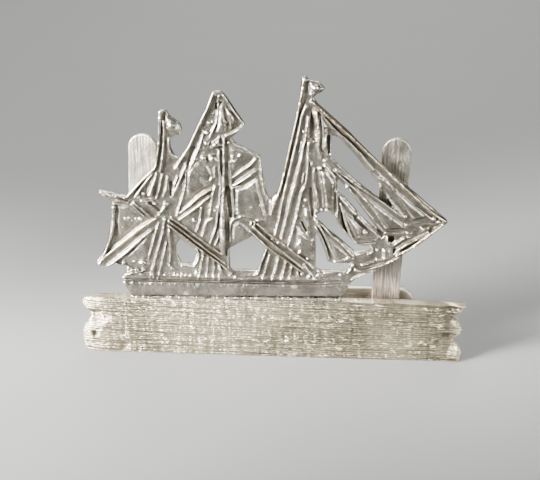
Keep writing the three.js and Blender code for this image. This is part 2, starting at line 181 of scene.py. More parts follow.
# The places where the casting is pierced right through.
SHIP_OPENINGS = [
    [(-10.3, 14.5), (-10.8, 13.7), (-10.85, 12.6), (-10.3, 11.35), (-8.9, 11.45), (-8.4, 12.8)],
    [(-4.65, 13.5), (-2.0, 15.0), (-0.55, 13.7), (-1.3, 11.2), (-1.6, 10.75), (-4.3, 10.75),
     (-4.65, 11.0)],
    [(5.3, 17.9), (6.6, 18.3), (7.3, 17.5), (7.45, 16.9), (8.6, 15.5), (9.7, 14.3), (11.3, 14.0),
     (11.5, 13.8), (11.2, 13.5), (9.5, 13.4), (8.3, 14.5), (6.4, 16.1), (5.2, 17.2)],
    [(5.15, 15.8), (5.2, 11.2), (5.9, 10.95), (8.8, 10.95), (9.1, 11.5), (9.1, 11.95),
     (7.0, 12.0), (6.55, 12.2), (6.1, 13.7)],
    [(7.45, 22.0), (8.7, 20.8), (10.5, 18.3), (11.9, 16.4), (11.6, 16.3), (10.0, 17.9),
     (8.3, 19.8), (7.6, 20.4)],
    [(6.7, 26.9), (7.2, 26.8), (9.2, 24.9), (12.0, 21.5), (13.4, 19.5), (13.7, 18.9),
     (13.3, 18.95), (10.5, 20.95), (7.8, 23.3), (6.7, 24.4)],
    [(13.2, 14.9), (13.7, 14.55), (14.1, 14.85), (13.9, 15.4), (13.3, 15.4)],
]

# Dark pockets sunk into the ground between the ropes.
POCKETS = [
    [(4.5, 29.8), (4.25, 27.5), (4.15, 26.7), (4.95, 26.3), (4.85, 27.6), (4.65, 29.0)],
    [(-4.95, 20.9), (-4.55, 20.9), (-4.35, 18.5), (-4.3, 17.3), (-4.6, 17.0), (-4.85, 18.5)],
    [(-11.45, 21.3), (-10.95, 21.3), (-11.15, 19.6), (-11.35, 19.4)],
    [(4.35, 20.9), (4.65, 20.9), (4.95, 18.8), (4.9, 17.3), (4.6, 17.6), (4.35, 19.2)],
    [(-8.9, 25.4), (-8.3, 25.4), (-8.8, 24.0), (-9.2, 23.0), (-9.3, 23.4)],
    [(7.95, 18.2), (8.1, 18.1), (8.35, 16.9), (8.7, 15.9), (8.5, 15.8), (8.05, 16.9)],
    [(9.2, 17.8), (9.9, 17.7), (11.2, 16.3), (11.4, 16.0), (10.4, 16.3), (9.6, 17.0)],
    [(12.05, 16.3), (12.9, 15.4), (12.6, 15.1), (12.0, 15.9)],
    [(13.9, 13.9), (14.4, 13.9), (14.1, 13.3), (13.9, 13.0)],
    [(-5.8, 30.9), (-5.75, 30.0), (-5.85, 29.3), (-6.05, 29.9)],
    [(3.35, 16.9), (3.7, 16.9), (4.2, 15.7), (4.0, 15.6)],
    [(6.25, 26.9), (6.6, 26.9), (6.6, 24.7), (6.35, 24.8)],
]

# Sails, each with how far its belly stands forward of the ground.
SAILS = [
    (0.24, [(-17.3, 18.3), (-16.0, 18.3), (-14.5, 16.9), (-17.4, 14.3), (-17.6, 16.5)]),
    (0.20, [(-16.7, 12.1), (-14.1, 14.8), (-14.0, 12.2), (-14.6, 11.95)]),
    (0.20, [(-9.2, 22.4), (-8.6, 23.4), (-7.9, 23.6), (-7.0, 23.3), (-6.6, 22.3), (-6.6, 21.0),
            (-8.0, 20.3), (-9.3, 19.4), (-9.5, 20.5)]),
    (0.50, [(-4.9, 29.8), (-4.4, 29.5), (-3.85, 28.8), (-3.8, 28.2), (-4.1, 27.6), (-4.4, 27.3),
            (-4.55, 28.3)]),
    (0.40, [(-5.15, 30.6), (-5.0, 29.0), (-4.75, 28.0), (-4.75, 27.0), (-6.0, 27.0),
            (-5.75, 28.2), (-5.5, 30.0)]),
    (0.10, [(-4.4, 25.5), (-1.9, 24.4), (-2.3, 23.7), (-4.3, 22.5)]),
    (0.34, [(-3.9, 20.6), (-2.9, 20.9), (-1.5, 21.8), (-1.2, 20.4), (-0.75, 18.6), (-0.5, 17.3),
            (-1.8, 16.9), (-2.9, 17.2), (-3.9, 17.5)]),
    (0.24, [(-4.3, 16.4), (-3.5, 16.7), (-2.6, 16.0), (-2.1, 15.2), (-4.35, 14.1)]),
    (0.24, [(5.5, 29.0), (6.2, 27.9), (6.2, 24.7), (5.7, 25.2), (5.6, 27.0)]),
    (0.42, [(5.55, 22.9), (6.4, 22.9), (7.2, 21.6), (7.2, 18.0), (6.6, 18.5), (6.15, 18.6),
            (6.0, 20.0)]),
    (0.34, [(3.05, 16.4), (3.5, 15.6), (4.2, 15.0), (4.9, 14.9), (4.9, 12.2), (4.3, 12.4),
            (3.2, 13.2)]),
    (0.30, [(6.6, 15.0), (8.7, 13.3), (9.1, 12.8), (7.5, 12.4), (7.2, 13.2)]),
    (0.38, [(8.15, 18.6), (9.2, 17.4), (10.0, 16.3), (10.2, 15.2), (9.7, 14.7), (9.3, 15.6),
            (8.6, 17.1)]),
    (0.36, [(9.4, 21.2), (12.2, 18.8), (14.6, 17.1), (15.2, 16.4), (13.2, 16.2), (11.6, 18.5)]),
    (0.34, [(11.2, 22.7), (12.4, 22.3), (15.8, 19.2), (17.6, 17.8), (15.9, 17.4), (14.2, 19.9),
            (12.6, 21.6)]),
    (0.26, [(12.5, 20.9), (13.6, 19.4), (15.0, 17.9), (14.7, 17.9), (13.8, 18.8)]),
    (0.34, [(12.9, 12.4), (12.7, 13.8), (13.6, 13.9), (13.75, 12.8)]),
    (0.55, [(16.8, 16.6), (17.9, 16.8), (17.8, 16.15), (17.0, 15.95)]),
    (0.30, [(-11.5, 28.9), (-10.7, 28.3), (-10.1, 27.9), (-10.0, 27.2), (-10.8, 26.9),
            (-11.5, 27.2)]),
    (0.30, [(4.2, 32.8), (5.2, 32.5), (5.7, 32.0), (5.2, 31.6), (4.3, 31.2)]),
    (0.30, [(-7.4, 26.1), (-6.8, 26.1), (-6.7, 25.4), (-7.3, 25.4)]),
    (0.52, [(-6.6, 25.2), (-6.4, 25.9), (-5.8, 26.3), (-5.6, 26.6), (-5.5, 25.9), (-5.2, 25.7),
            (-5.3, 25.5), (-5.8, 25.3)]),
    (0.40, [(0.9, 20.5), (0.2, 19.7), (0.0, 18.8), (-0.05, 17.6), (0.25, 17.9), (0.6, 18.9)]),
]

# Spars, masts and rigging: (lift, route), where a route's points are (x, z, width). A line stands
# as far forward as its width asks, and further by its lift.
MIZZEN_LINES = [
    (0.05, [(-12.0, 29.4, 0.55), (-12.1, 28.3, 0.5), (-12.3, 26.0, 0.3), (-12.5, 24.5, 0.26),
            (-12.75, 23.0, 0.28), (-13.5, 22.3, 0.4), (-14.5, 21.3, 0.45), (-15.5, 20.2, 0.5),
            (-16.2, 19.4, 0.5)]),
    (0.05, [(-11.7, 28.3, 0.3), (-11.7, 26.5, 0.26), (-11.9, 24.8, 0.24), (-12.1, 23.3, 0.42),
            (-12.3, 22.3, 0.2)]),
    (0, [(-11.25, 26.3, 0.22), (-11.3, 25.3, 0.22), (-11.05, 24.5, 0.22), (-10.5, 24.15, 0.25),
         (-9.9, 24.0, 0.28)]),
    (0, [(-13.1, 22.3, 0.18), (-13.9, 21.3, 0.38), (-14.7, 20.3, 0.42), (-15.35, 19.3, 0.32)]),
    (0, [(-12.75, 22.4, 0.2), (-12.9, 21.5, 0.28), (-13.3, 20.6, 0.42), (-13.6, 19.7, 0.7)]),
    (0, [(-12.05, 22.2, 0.2), (-12.35, 21.0, 0.24), (-12.6, 20.0, 0.25), (-12.9, 19.2, 0.2)]),
    (0, [(-11.5, 21.9, 0.16), (-11.65, 20.8, 0.2), (-11.8, 20.2, 0.32), (-12.1, 19.5, 0.2)]),
    (0, [(-9.35, 23.4, 0.24), (-9.7, 22.4, 0.34), (-10.2, 21.3, 0.34), (-10.7, 20.2, 0.26),
         (-11.1, 19.45, 0.18)]),
    (0, [(-10.35, 21.9, 0.26), (-10.65, 21.2, 0.28), (-10.85, 20.7, 0.2)]),
    (0, [(-9.4, 22.6, 0.18), (-9.5, 21.0, 0.22), (-9.65, 20.4, 0.22), (-9.95, 19.2, 0.22),
         (-10.3, 18.4, 0.3), (-10.6, 17.2, 0.3)]),
    (0.05, [(-19.25, 19.95, 0.42), (-18.4, 19.4, 0.6), (-17.4, 19.0, 0.7), (-16.7, 18.9, 0.4),
            (-16.1, 18.75, 0.3)]),
    (0, [(-17.9, 19.6, 0.3), (-16.8, 19.35, 0.3)]),
    (0, [(-17.75, 18.4, 0.7), (-17.85, 17.0, 0.62), (-17.95, 16.0, 0.62), (-18.15, 15.0, 0.58),
         (-18.6, 13.8, 0.5), (-19.1, 12.6, 0.45), (-19.6, 11.7, 0.4), (-19.95, 11.15, 0.3)]),
    (0.08, [(-12.9, 17.0, 0.35), (-13.8, 16.4, 0.46), (-15.0, 15.6, 0.5), (-16.0, 14.8, 0.46),
            (-17.0, 13.95, 0.5), (-17.5, 13.55, 0.42), (-18.3, 12.8, 0.34), (-19.2, 12.0, 0.34),
            (-19.9, 11.2, 0.36)]),
    (0.05, [(-13.4, 15.6, 0.2), (-14.3, 14.9, 0.4), (-15.3, 14.0, 0.5), (-16.2, 13.15, 0.55),
            (-17.0, 12.4, 0.62), (-17.8, 11.8, 0.5), (-18.3, 11.3, 0.38), (-19.0, 11.0, 0.28)]),
    (0, [(-15.9, 11.6, 0.2), (-15.2, 11.55, 0.25), (-14.1, 11.4, 0.26)]),
    (0, [(-17.9, 11.25, 0.26), (-17.0, 11.15, 0.24), (-16.4, 11.0, 0.3)]),
    (0, [(-16.9, 9.9, 0.32), (-16.3, 10.1, 0.38), (-15.5, 10.2, 0.34), (-14.9, 10.4, 0.24)]),
    (0, [(-15.8, 18.6, 0.2), (-14.9, 17.7, 0.22), (-14.3, 17.1, 0.2)]),
    (0.05, [(-15.5, 18.8, 0.36), (-14.6, 18.0, 0.42), (-13.9, 17.4, 0.4), (-13.3, 16.9, 0.3)]),
    (0.05, [(-14.0, 18.7, 0.3), (-13.1, 18.2, 0.32), (-12.4, 17.6, 0.34)]),
    (0.05, [(-14.7, 19.0, 0.22), (-13.9, 18.95, 0.28), (-13.3, 19.1, 0.24)]),
    (0.05, [(-11.9, 18.4, 0.36), (-12.4, 17.6, 0.34), (-12.75, 17.3, 0.28)]),
    (0, [(-12.7, 16.5, 0.2), (-13.1, 15.2, 0.22), (-13.6, 13.5, 0.28), (-14.1, 11.8, 0.22)]),
    (0.03, [(-12.0, 16.6, 0.28), (-12.3, 15.0, 0.28), (-12.8, 13.5, 0.32), (-13.3, 11.8, 0.3),
            (-13.6, 10.6, 0.22), (-13.6, 9.6, 0.2)]),
    (0, [(-13.5, 11.2, 0.2), (-13.85, 10.3, 0.22), (-14.0, 9.5, 0.2)]),
    (0, [(-11.9, 14.1, 0.18), (-12.1, 13.3, 0.2), (-12.5, 11.5, 0.22), (-12.8, 10.3, 0.28),
         (-13.1, 9.4, 0.2)]),
    (0.03, [(-11.55, 15.7, 0.2), (-11.5, 14.8, 0.34), (-11.45, 13.5, 0.22), (-11.5, 12.0, 0.22),
            (-11.7, 11.1, 0.2)]),
    (0, [(-10.3, 11.2, 0.24), (-9.5, 11.25, 0.24), (-9.0, 11.05, 0.28), (-8.6, 11.4, 0.2),
         (-8.2, 12.2, 0.2), (-8.15, 12.8, 0.2), (-8.4, 13.2, 0.18)]),
    (0, [(-11.5, 10.85, 0.22), (-11.1, 10.8, 0.22)]),
]
MAIN_LINES = [
    (0.05, [(-6.15, 31.5, 0.4), (-6.5, 30.5, 0.38), (-7.05, 29.3, 0.38), (-7.75, 27.9, 0.36),
            (-8.45, 26.5, 0.34), (-9.05, 25.2, 0.34), (-9.6, 24.4, 0.44), (-10.0, 23.8, 0.34),
            (-10.4, 23.1, 0.3)]),
    (0.03, [(-5.55, 31.2, 0.24), (-5.65, 30.3, 0.24), (-5.75, 29.0, 0.24), (-5.85, 28.3, 0.26),
            (-6.15, 27.6, 0.22), (-6.5, 26.9, 0.26), (-6.7, 26.4, 0.18)]),
    (0, [(-5.1, 31.2, 0.2), (-4.4, 30.1, 0.2), (-3.75, 29.1, 0.2), (-3.15, 28.3, 0.2)]),
    (0.05, [(-4.9, 26.7, 0.3), (-4.2, 26.95, 0.28), (-3.4, 27.45, 0.32), (-2.95, 27.8, 0.24)]),
    (0, [(-7.3, 27.1, 0.24), (-7.5, 26.5, 0.2), (-7.75, 25.6, 0.2), (-8.1, 24.8, 0.22),
         (-8.5, 23.8, 0.24), (-8.9, 22.9, 0.24), (-9.15, 22.7, 0.18)]),
    (0, [(-8.0, 25.1, 0.22), (-7.3, 25.15, 0.25)]),
    (0, [(-8.5, 24.0, 0.28), (-8.05, 23.95, 0.26)]),
    (0.05, [(-5.68, 25.1, 0.3), (-5.7, 24.3, 0.3)]),
    (0, [(-6.15, 23.0, 0.2), (-6.2, 21.9, 0.2)]),
    (0, [(-6.5, 21.9, 0.2), (-6.8, 21.4, 0.2)]),
    (0, [(-6.15, 20.9, 0.2), (-6.4, 20.3, 0.28), (-6.6, 19.2, 0.22), (-6.75, 18.2, 0.2),
         (-6.9, 17.3, 0.2)]),
    (0.04, [(-5.65, 24.9, 0.2), (-5.65, 23.0, 0.22), (-5.55, 22.2, 0.24), (-5.5, 21.0, 0.22),
            (-5.6, 20.0, 0.22), (-5.75, 18.6, 0.26), (-5.9, 17.8, 0.24), (-6.0, 16.8, 0.2),
            (-6.15, 16.0, 0.2), (-6.4, 15.3, 0.26), (-6.7, 14.5, 0.26), (-6.85, 14.0, 0.2)]),
    (0, [(-5.72, 16.3, 0.18), (-5.85, 15.0, 0.2), (-6.05, 14.4, 0.2), (-6.35, 13.8, 0.2)]),
    (0.06, [(-10.3, 17.6, 0.2), (-9.3, 18.4, 0.26), (-8.5, 19.2, 0.4), (-7.5, 20.05, 0.44),
            (-6.6, 20.5, 0.26)]),
    (0.06, [(-10.4, 16.8, 0.28), (-9.3, 17.6, 0.3), (-8.3, 18.4, 0.36), (-7.6, 19.0, 0.4),
            (-6.8, 19.7, 0.26)]),
    (0, [(-7.8, 18.4, 0.22), (-7.85, 17.2, 0.22), (-8.0, 16.7, 0.32), (-8.2, 16.0, 0.28),
         (-8.45, 15.3, 0.2)]),
    (0, [(-6.5, 17.1, 0.25), (-7.1, 16.8, 0.28), (-7.4, 16.4, 0.28), (-7.5, 15.4, 0.25),
         (-7.8, 14.8, 0.2)]),
    (0.1, [(-11.3, 17.1, 0.3), (-10.2, 16.3, 0.22), (-8.6, 15.0, 0.22), (-7.4, 14.1, 0.26),
           (-6.2, 13.2, 0.26), (-5.3, 12.6, 0.2)]),
    (0.13, [(-11.6, 16.7, 0.28), (-10.5, 15.95, 0.24), (-9.3, 14.9, 0.26), (-8.2, 14.0, 0.26),
            (-7.0, 13.1, 0.26), (-6.0, 12.3, 0.26), (-5.2, 11.65, 0.24)]),
    (0.1, [(-11.7, 16.2, 0.26), (-10.6, 15.4, 0.28), (-9.4, 14.4, 0.28), (-8.3, 13.5, 0.28),
           (-7.0, 12.5, 0.26), (-6.0, 11.8, 0.22), (-4.95, 10.9, 0.22), (-4.5, 10.3, 0.25)]),
    (0, [(-5.1, 26.5, 0.4), (-5.1, 24.0, 0.42), (-5.15, 21.0, 0.42), (-5.3, 19.0, 0.5),
         (-5.4, 17.0, 0.85), (-5.4, 15.0, 0.95), (-5.35, 13.3, 0.85), (-5.3, 12.6, 0.5)]),
    (0, [(-4.6, 23.7, 0.2), (-4.45, 22.8, 0.2), (-4.35, 21.9, 0.25), (-4.3, 21.0, 0.22),
         (-4.2, 20.4, 0.25), (-4.1, 19.0, 0.2), (-4.1, 18.0, 0.24), (-4.15, 17.0, 0.2),
         (-4.5, 16.6, 0.34), (-4.55, 15.0, 0.2), (-4.55, 14.3, 0.3)]),
    (0.04, [(-4.1, 17.0, 0.24), (-3.4, 17.35, 0.25), (-2.85, 17.6, 0.22)]),
    (0, [(-1.05, 24.0, 0.2), (-0.98, 22.0, 0.2), (-0.82, 21.0, 0.2), (-0.62, 20.0, 0.2),
         (-0.4, 19.3, 0.2)]),
    (0.04, [(-4.7, 25.95, 0.3), (-3.5, 25.45, 0.26), (-2.2, 24.85, 0.25), (-1.3, 24.4, 0.2)]),
    (0, [(-4.3, 24.35, 0.18), (-4.0, 24.05, 0.3), (-3.7, 23.8, 0.22), (-4.4, 23.7, 0.18)]),
    (0, [(-3.5, 24.3, 0.18), (-3.3, 24.6, 0.2)]),
    (0.04, [(-4.4, 21.85, 0.2), (-3.7, 22.3, 0.28), (-3.0, 22.9, 0.36), (-2.2, 23.4, 0.32),
            (-1.8, 23.9, 0.28), (-1.6, 24.2, 0.2)]),
    (0.04, [(-4.1, 21.0, 0.3), (-3.4, 21.45, 0.46), (-2.4, 22.15, 0.52), (-1.6, 22.8, 0.32)]),
    (0, [(-4.4, 20.6, 0.28), (-3.8, 20.8, 0.28), (-3.2, 21.0, 0.2)]),
    (0.05, [(-1.6, 16.95, 0.2), (-0.9, 17.0, 0.34), (-0.5, 17.1, 0.2)]),
    (0.1, [(-2.15, 16.75, 0.24), (-2.2, 16.3, 0.24)]),
    (0.1, [(-1.75, 16.8, 0.2), (-1.8, 16.2, 0.2)]),
    (0.02, [(-0.3, 13.8, 0.34), (-0.7, 12.8, 0.32), (-1.1, 11.5, 0.28), (-1.25, 10.9, 0.32),
            (-1.45, 10.4, 0.28), (-2.5, 10.15, 0.22), (-3.5, 10.05, 0.2), (-4.1, 10.05, 0.2)]),
    (0, [(-4.82, 13.4, 0.18), (-4.8, 12.2, 0.16), (-4.8, 11.0, 0.16)]),
    (0, [(-7.65, 12.8, 0.2), (-7.8, 12.0, 0.22), (-8.0, 11.0, 0.22), (-8.2, 10.0, 0.24),
         (-8.35, 9.5, 0.2)]),
    (0, [(-7.15, 12.6, 0.18), (-7.15, 11.5, 0.22), (-7.25, 10.5, 0.28), (-7.4, 9.5, 0.2)]),
    (0, [(-6.5, 12.2, 0.28), (-6.45, 11.0, 0.24), (-6.5, 10.3, 0.28), (-6.55, 9.5, 0.2)]),
    (0, [(-5.9, 11.5, 0.22), (-5.75, 10.9, 0.45), (-5.65, 10.4, 0.5), (-5.9, 9.5, 0.2)]),
]
FORE_LINES = [
    (0.06, [(3.65, 33.15, 0.45), (3.5, 32.2, 0.5), (3.35, 31.0, 0.42), (3.15, 30.0, 0.32),
            (2.95, 29.0, 0.28), (2.5, 27.0, 0.26), (2.05, 24.9, 0.26), (1.65, 23.0, 0.26),
            (1.3, 21.3, 0.3), (0.95, 20.2, 0.36), (0.4, 18.8, 0.4), (0.05, 17.6, 0.26)]),
    (0.03, [(3.95, 30.2, 0.3), (3.6, 29.5, 0.3), (3.4, 29.0, 0.3), (3.1, 27.0, 0.3),
            (2.65, 25.0, 0.32), (2.2, 23.0, 0.32), (1.75, 21.0, 0.3), (1.3, 19.0, 0.28),
            (1.0, 17.0, 0.24), (0.75, 16.0, 0.22), (0.5, 15.2, 0.26)]),
    (0.03, [(4.15, 29.0, 0.22), (4.0, 27.4, 0.24), (3.75, 26.0, 0.26), (3.35, 24.0, 0.34),
            (2.95, 22.0, 0.38), (2.4, 20.0, 0.42), (2.0, 18.1, 0.36), (1.55, 16.0, 0.3),
            (1.25, 14.8, 0.32)]),
    (0, [(3.5, 26.2, 0.18), (3.2, 24.8, 0.18)]),
    (0.03, [(4.25, 26.2, 0.34), (4.2, 25.3, 0.3), (4.15, 24.5, 0.26), (4.2, 23.6, 0.34),
            (4.1, 22.2, 0.32), (3.85, 21.0, 0.3), (3.5, 20.4, 0.28), (3.25, 19.0, 0.26),
            (2.85, 17.0, 0.26), (2.35, 15.0, 0.26), (2.05, 13.9, 0.2)]),
    (0, [(3.75, 22.6, 0.18), (3.6, 21.4, 0.18)]),
    (0, [(4.5, 23.9, 0.2), (4.6, 23.4, 0.24)]),
    (0, [(4.8, 29.5, 0.2), (4.85, 28.8, 0.22), (4.95, 28.0, 0.18)]),
    (0.06, [(5.0, 29.6, 0.26), (5.1, 28.9, 0.32), (5.25, 27.8, 0.46), (5.3, 27.0, 0.46),
            (5.35, 26.2, 0.38), (5.25, 25.7, 0.22), (5.35, 25.1, 0.22), (5.5, 24.6, 0.3),
            (5.55, 24.2, 0.26)]),
    (0, [(4.4, 26.15, 0.2), (5.1, 26.3, 0.2)]),
    (0.04, [(6.1, 26.7, 0.22), (6.1, 25.6, 0.2)]),
    (0.02, [(4.85, 23.2, 0.2), (4.85, 22.3, 0.2), (4.95, 21.0, 0.2), (5.15, 20.1, 0.28),
            (5.3, 19.3, 0.26), (5.35, 18.6, 0.22)]),
    (0, [(4.05, 18.4, 0.26), (4.0, 17.9, 0.38), (4.15, 17.1, 0.32), (4.3, 16.3, 0.38),
         (4.3, 15.2, 0.24)]),
    (0.02, [(5.3, 23.2, 0.2), (5.6, 22.3, 0.24), (5.85, 21.0, 0.24), (5.98, 20.0, 0.24),
            (6.05, 18.7, 0.22)]),
    (0.03, [(7.42, 20.6, 0.2), (7.5, 19.5, 0.22), (7.58, 18.5, 0.22), (7.5, 17.6, 0.34),
            (7.6, 17.0, 0.32), (8.0, 16.35, 0.22), (8.55, 15.7, 0.18)]),
    (0.04, [(6.0, 23.6, 0.4), (6.7, 22.8, 0.46), (7.2, 22.15, 0.36)]),
    (0.1, [(-1.5, 16.6, 0.3), (-0.4, 15.6, 0.28), (0.9, 14.6, 0.26), (2.0, 13.75, 0.22),
           (3.0, 12.95, 0.2), (4.0, 12.3, 0.2), (5.0, 11.3, 0.24)]),
    (0.14, [(-2.0, 16.3, 0.28), (-0.9, 15.2, 0.3), (0.5, 14.0, 0.34), (1.8, 12.95, 0.36),
            (3.0, 12.0, 0.36), (3.8, 11.3, 0.3)]),
    (0.1, [(-2.3, 15.7, 0.26), (-1.2, 14.6, 0.26), (0.0, 13.5, 0.22), (1.1, 12.75, 0.2),
           (2.2, 11.95, 0.2), (3.1, 11.25, 0.2), (3.8, 10.7, 0.2)]),
    (0.03, [(3.9, 11.7, 0.28), (4.35, 10.95, 0.34), (4.95, 10.4, 0.3), (5.3, 9.8, 0.22)]),
    (0.02, [(5.5, 11.05, 0.34), (5.7, 10.6, 0.36), (6.0, 10.3, 0.2)]),
    (0.02, [(-0.05, 12.9, 0.34), (-0.4, 11.4, 0.42), (-0.7, 10.3, 0.3), (-0.95, 9.55, 0.2)]),
    (0.02, [(1.0, 12.8, 0.3), (0.85, 11.8, 0.34), (0.5, 10.5, 0.32), (0.2, 9.6, 0.28)]),
    (0.02, [(1.85, 12.1, 0.28), (1.6, 11.0, 0.26), (1.4, 10.1, 0.28), (1.25, 9.6, 0.22)]),
    (0, [(2.45, 11.5, 0.3), (2.35, 10.5, 0.34), (2.3, 9.9, 0.28)]),
    (0, [(3.1, 11.1, 0.24), (3.2, 10.3, 0.3)]),
    (0.02, [(6.2, 10.8, 0.2), (7.0, 10.75, 0.26), (7.6, 10.7, 0.2), (8.1, 10.6, 0.34),
            (8.9, 10.85, 0.26), (9.25, 11.3, 0.34), (9.45, 12.0, 0.3)]),
]
BOW_LINES = [
    (0.06, [(4.4, 30.7, 0.5), (5.4, 29.8, 0.5), (7.0, 28.4, 0.44), (9.0, 26.6, 0.4),
            (10.8, 24.9, 0.4), (12.6, 23.2, 0.42), (15.0, 21.0, 0.44), (17.0, 19.2, 0.42),
            (18.3, 18.1, 0.4), (19.6, 17.3, 0.34)]),
    (0, [(5.2, 29.7, 0.2), (6.1, 28.6, 0.26), (6.6, 28.0, 0.3), (7.5, 27.15, 0.36),
         (8.6, 26.2, 0.4), (9.6, 25.2, 0.4), (10.6, 24.1, 0.38), (11.4, 23.1, 0.34)]),
    (0, [(11.5, 23.3, 0.2), (13.2, 21.5, 0.2), (15.0, 20.0, 0.2), (16.8, 18.5, 0.2),
         (18.0, 17.6, 0.24)]),
    (0, [(12.2, 21.5, 0.24), (12.2, 20.8, 0.22)]),
    (0.04, [(7.3, 23.1, 0.24), (8.2, 22.4, 0.26), (9.6, 21.35, 0.26), (11.0, 20.4, 0.24),
            (12.4, 19.5, 0.24), (13.6, 18.6, 0.24), (15.0, 17.5, 0.24)]),
    (0, [(7.0, 23.0, 0.2), (8.2, 21.9, 0.28), (9.4, 20.9, 0.3), (10.6, 19.6, 0.28),
         (11.9, 18.1, 0.26), (13.0, 16.3, 0.22)]),
    (0, [(8.5, 21.2, 0.22), (9.3, 20.2, 0.24), (10.4, 18.8, 0.22), (11.5, 17.4, 0.22),
         (12.3, 16.5, 0.22), (12.75, 15.9, 0.2)]),
    (0, [(12.9, 15.85, 0.24), (14.0, 15.9, 0.22), (15.1, 15.85, 0.24)]),
    (0.02, [(7.85, 19.9, 0.26), (8.5, 19.1, 0.4), (9.1, 18.35, 0.48), (9.6, 17.95, 0.4)]),
    (0.02, [(7.85, 19.2, 0.22), (8.05, 18.5, 0.24), (8.4, 17.2, 0.3), (8.65, 16.5, 0.36),
            (8.9, 15.8, 0.32), (9.2, 15.2, 0.34), (9.45, 14.75, 0.28), (9.75, 14.5, 0.3)]),
    (0, [(9.9, 17.6, 0.22), (10.5, 16.9, 0.22), (11.2, 16.25, 0.3), (11.7, 16.0, 0.3),
         (12.2, 15.2, 0.2)]),
    (0, [(10.0, 15.15, 0.24), (11.0, 15.1, 0.24), (12.0, 14.95, 0.24)]),
    (0, [(9.8, 14.55, 0.2), (10.6, 14.45, 0.22), (11.9, 14.6, 0.26)]),
    (0, [(9.7, 13.15, 0.22), (10.3, 13.2, 0.3), (10.9, 13.15, 0.26), (11.4, 13.3, 0.38),
         (11.75, 13.65, 0.34), (11.4, 14.15, 0.2)]),
    (0.02, [(5.15, 16.3, 0.2), (5.55, 15.6, 0.22), (5.95, 14.8, 0.22), (6.35, 13.7, 0.24),
            (6.7, 12.5, 0.28)]),
    (0, [(5.2, 16.9, 0.28), (5.9, 15.9, 0.34), (6.5, 14.6, 0.34), (7.1, 13.2, 0.3),
         (7.35, 12.5, 0.24)]),
    (0.02, [(5.0, 17.15, 0.22), (5.8, 16.7, 0.22), (6.5, 15.8, 0.26), (7.5, 14.9, 0.3),
            (8.2, 14.25, 0.32), (8.9, 13.5, 0.3), (9.5, 12.9, 0.24)]),
    (0, [(7.3, 12.2, 0.26), (8.2, 12.3, 0.22), (8.9, 12.65, 0.4), (9.55, 12.6, 0.3)]),
    (0.06, [(14.3, 13.15, 0.4), (15.2, 13.6, 0.5), (16.5, 14.55, 0.54), (17.8, 15.65, 0.5),
            (18.8, 16.5, 0.44), (19.4, 17.0, 0.4)]),
    (0.06, [(14.4, 13.75, 0.4), (15.0, 14.25, 0.46), (15.8, 14.75, 0.4), (16.6, 15.2, 0.28),
            (17.8, 16.1, 0.2)]),
    (0.03, [(13.2, 15.4, 0.2), (13.15, 14.6, 0.24), (13.6, 14.2, 0.24), (14.2, 14.5, 0.26),
            (15.15, 15.3, 0.26)]),
    (0, [(15.3, 15.85, 0.26), (15.9, 15.85, 0.26)]),
    (0, [(15.4, 15.35, 0.22), (15.8, 15.4, 0.2)]),
    (0.03, [(15.1, 16.8, 0.24), (16.5, 16.95, 0.2), (18.3, 17.05, 0.26), (19.3, 17.15, 0.3)]),
    (0, [(12.0, 12.6, 0.34), (12.4, 12.65, 0.42), (12.9, 12.6, 0.26)]),
    (0.02, [(9.6, 11.3, 0.34), (10.5, 11.15, 0.32), (11.6, 11.5, 0.34), (12.6, 11.85, 0.34),
            (13.6, 12.35, 0.34), (14.6, 12.95, 0.34)]),
    (0, [(10.4, 11.8, 0.22), (11.2, 12.05, 0.24), (11.9, 12.3, 0.24)]),
    (0, [(9.3, 10.0, 0.22), (10.4, 10.7, 0.24), (12.0, 11.3, 0.22)]),
]
RAIL_LINES = [
    (0.04, [(-15.2, 10.0, 0.22), (-10.0, 9.9, 0.22), (-4.0, 9.8, 0.22), (2.0, 9.8, 0.22),
            (8.0, 10.0, 0.24)]),
]
LINES = MIZZEN_LINES + MAIN_LINES + FORE_LINES + BOW_LINES + RAIL_LINES

# The hull's side below the deck, and the low bulwark above it.
HULL_SIDE = [
    (-16.3, 7.4), (8.2, 8.0), (8.7, 8.6), (9.2, 9.5), (8.6, 9.6), (5.0, 9.35), (-5.0, 9.25),
    (-17.2, 9.2), (-16.6, 8.1),
]
BULWARK = [
    (9.2, 9.5), (9.3, 12.0), (8.7, 10.9), (5.9, 10.8), (5.0, 10.15), (-16.5, 10.15), (-17.1, 9.35),
]

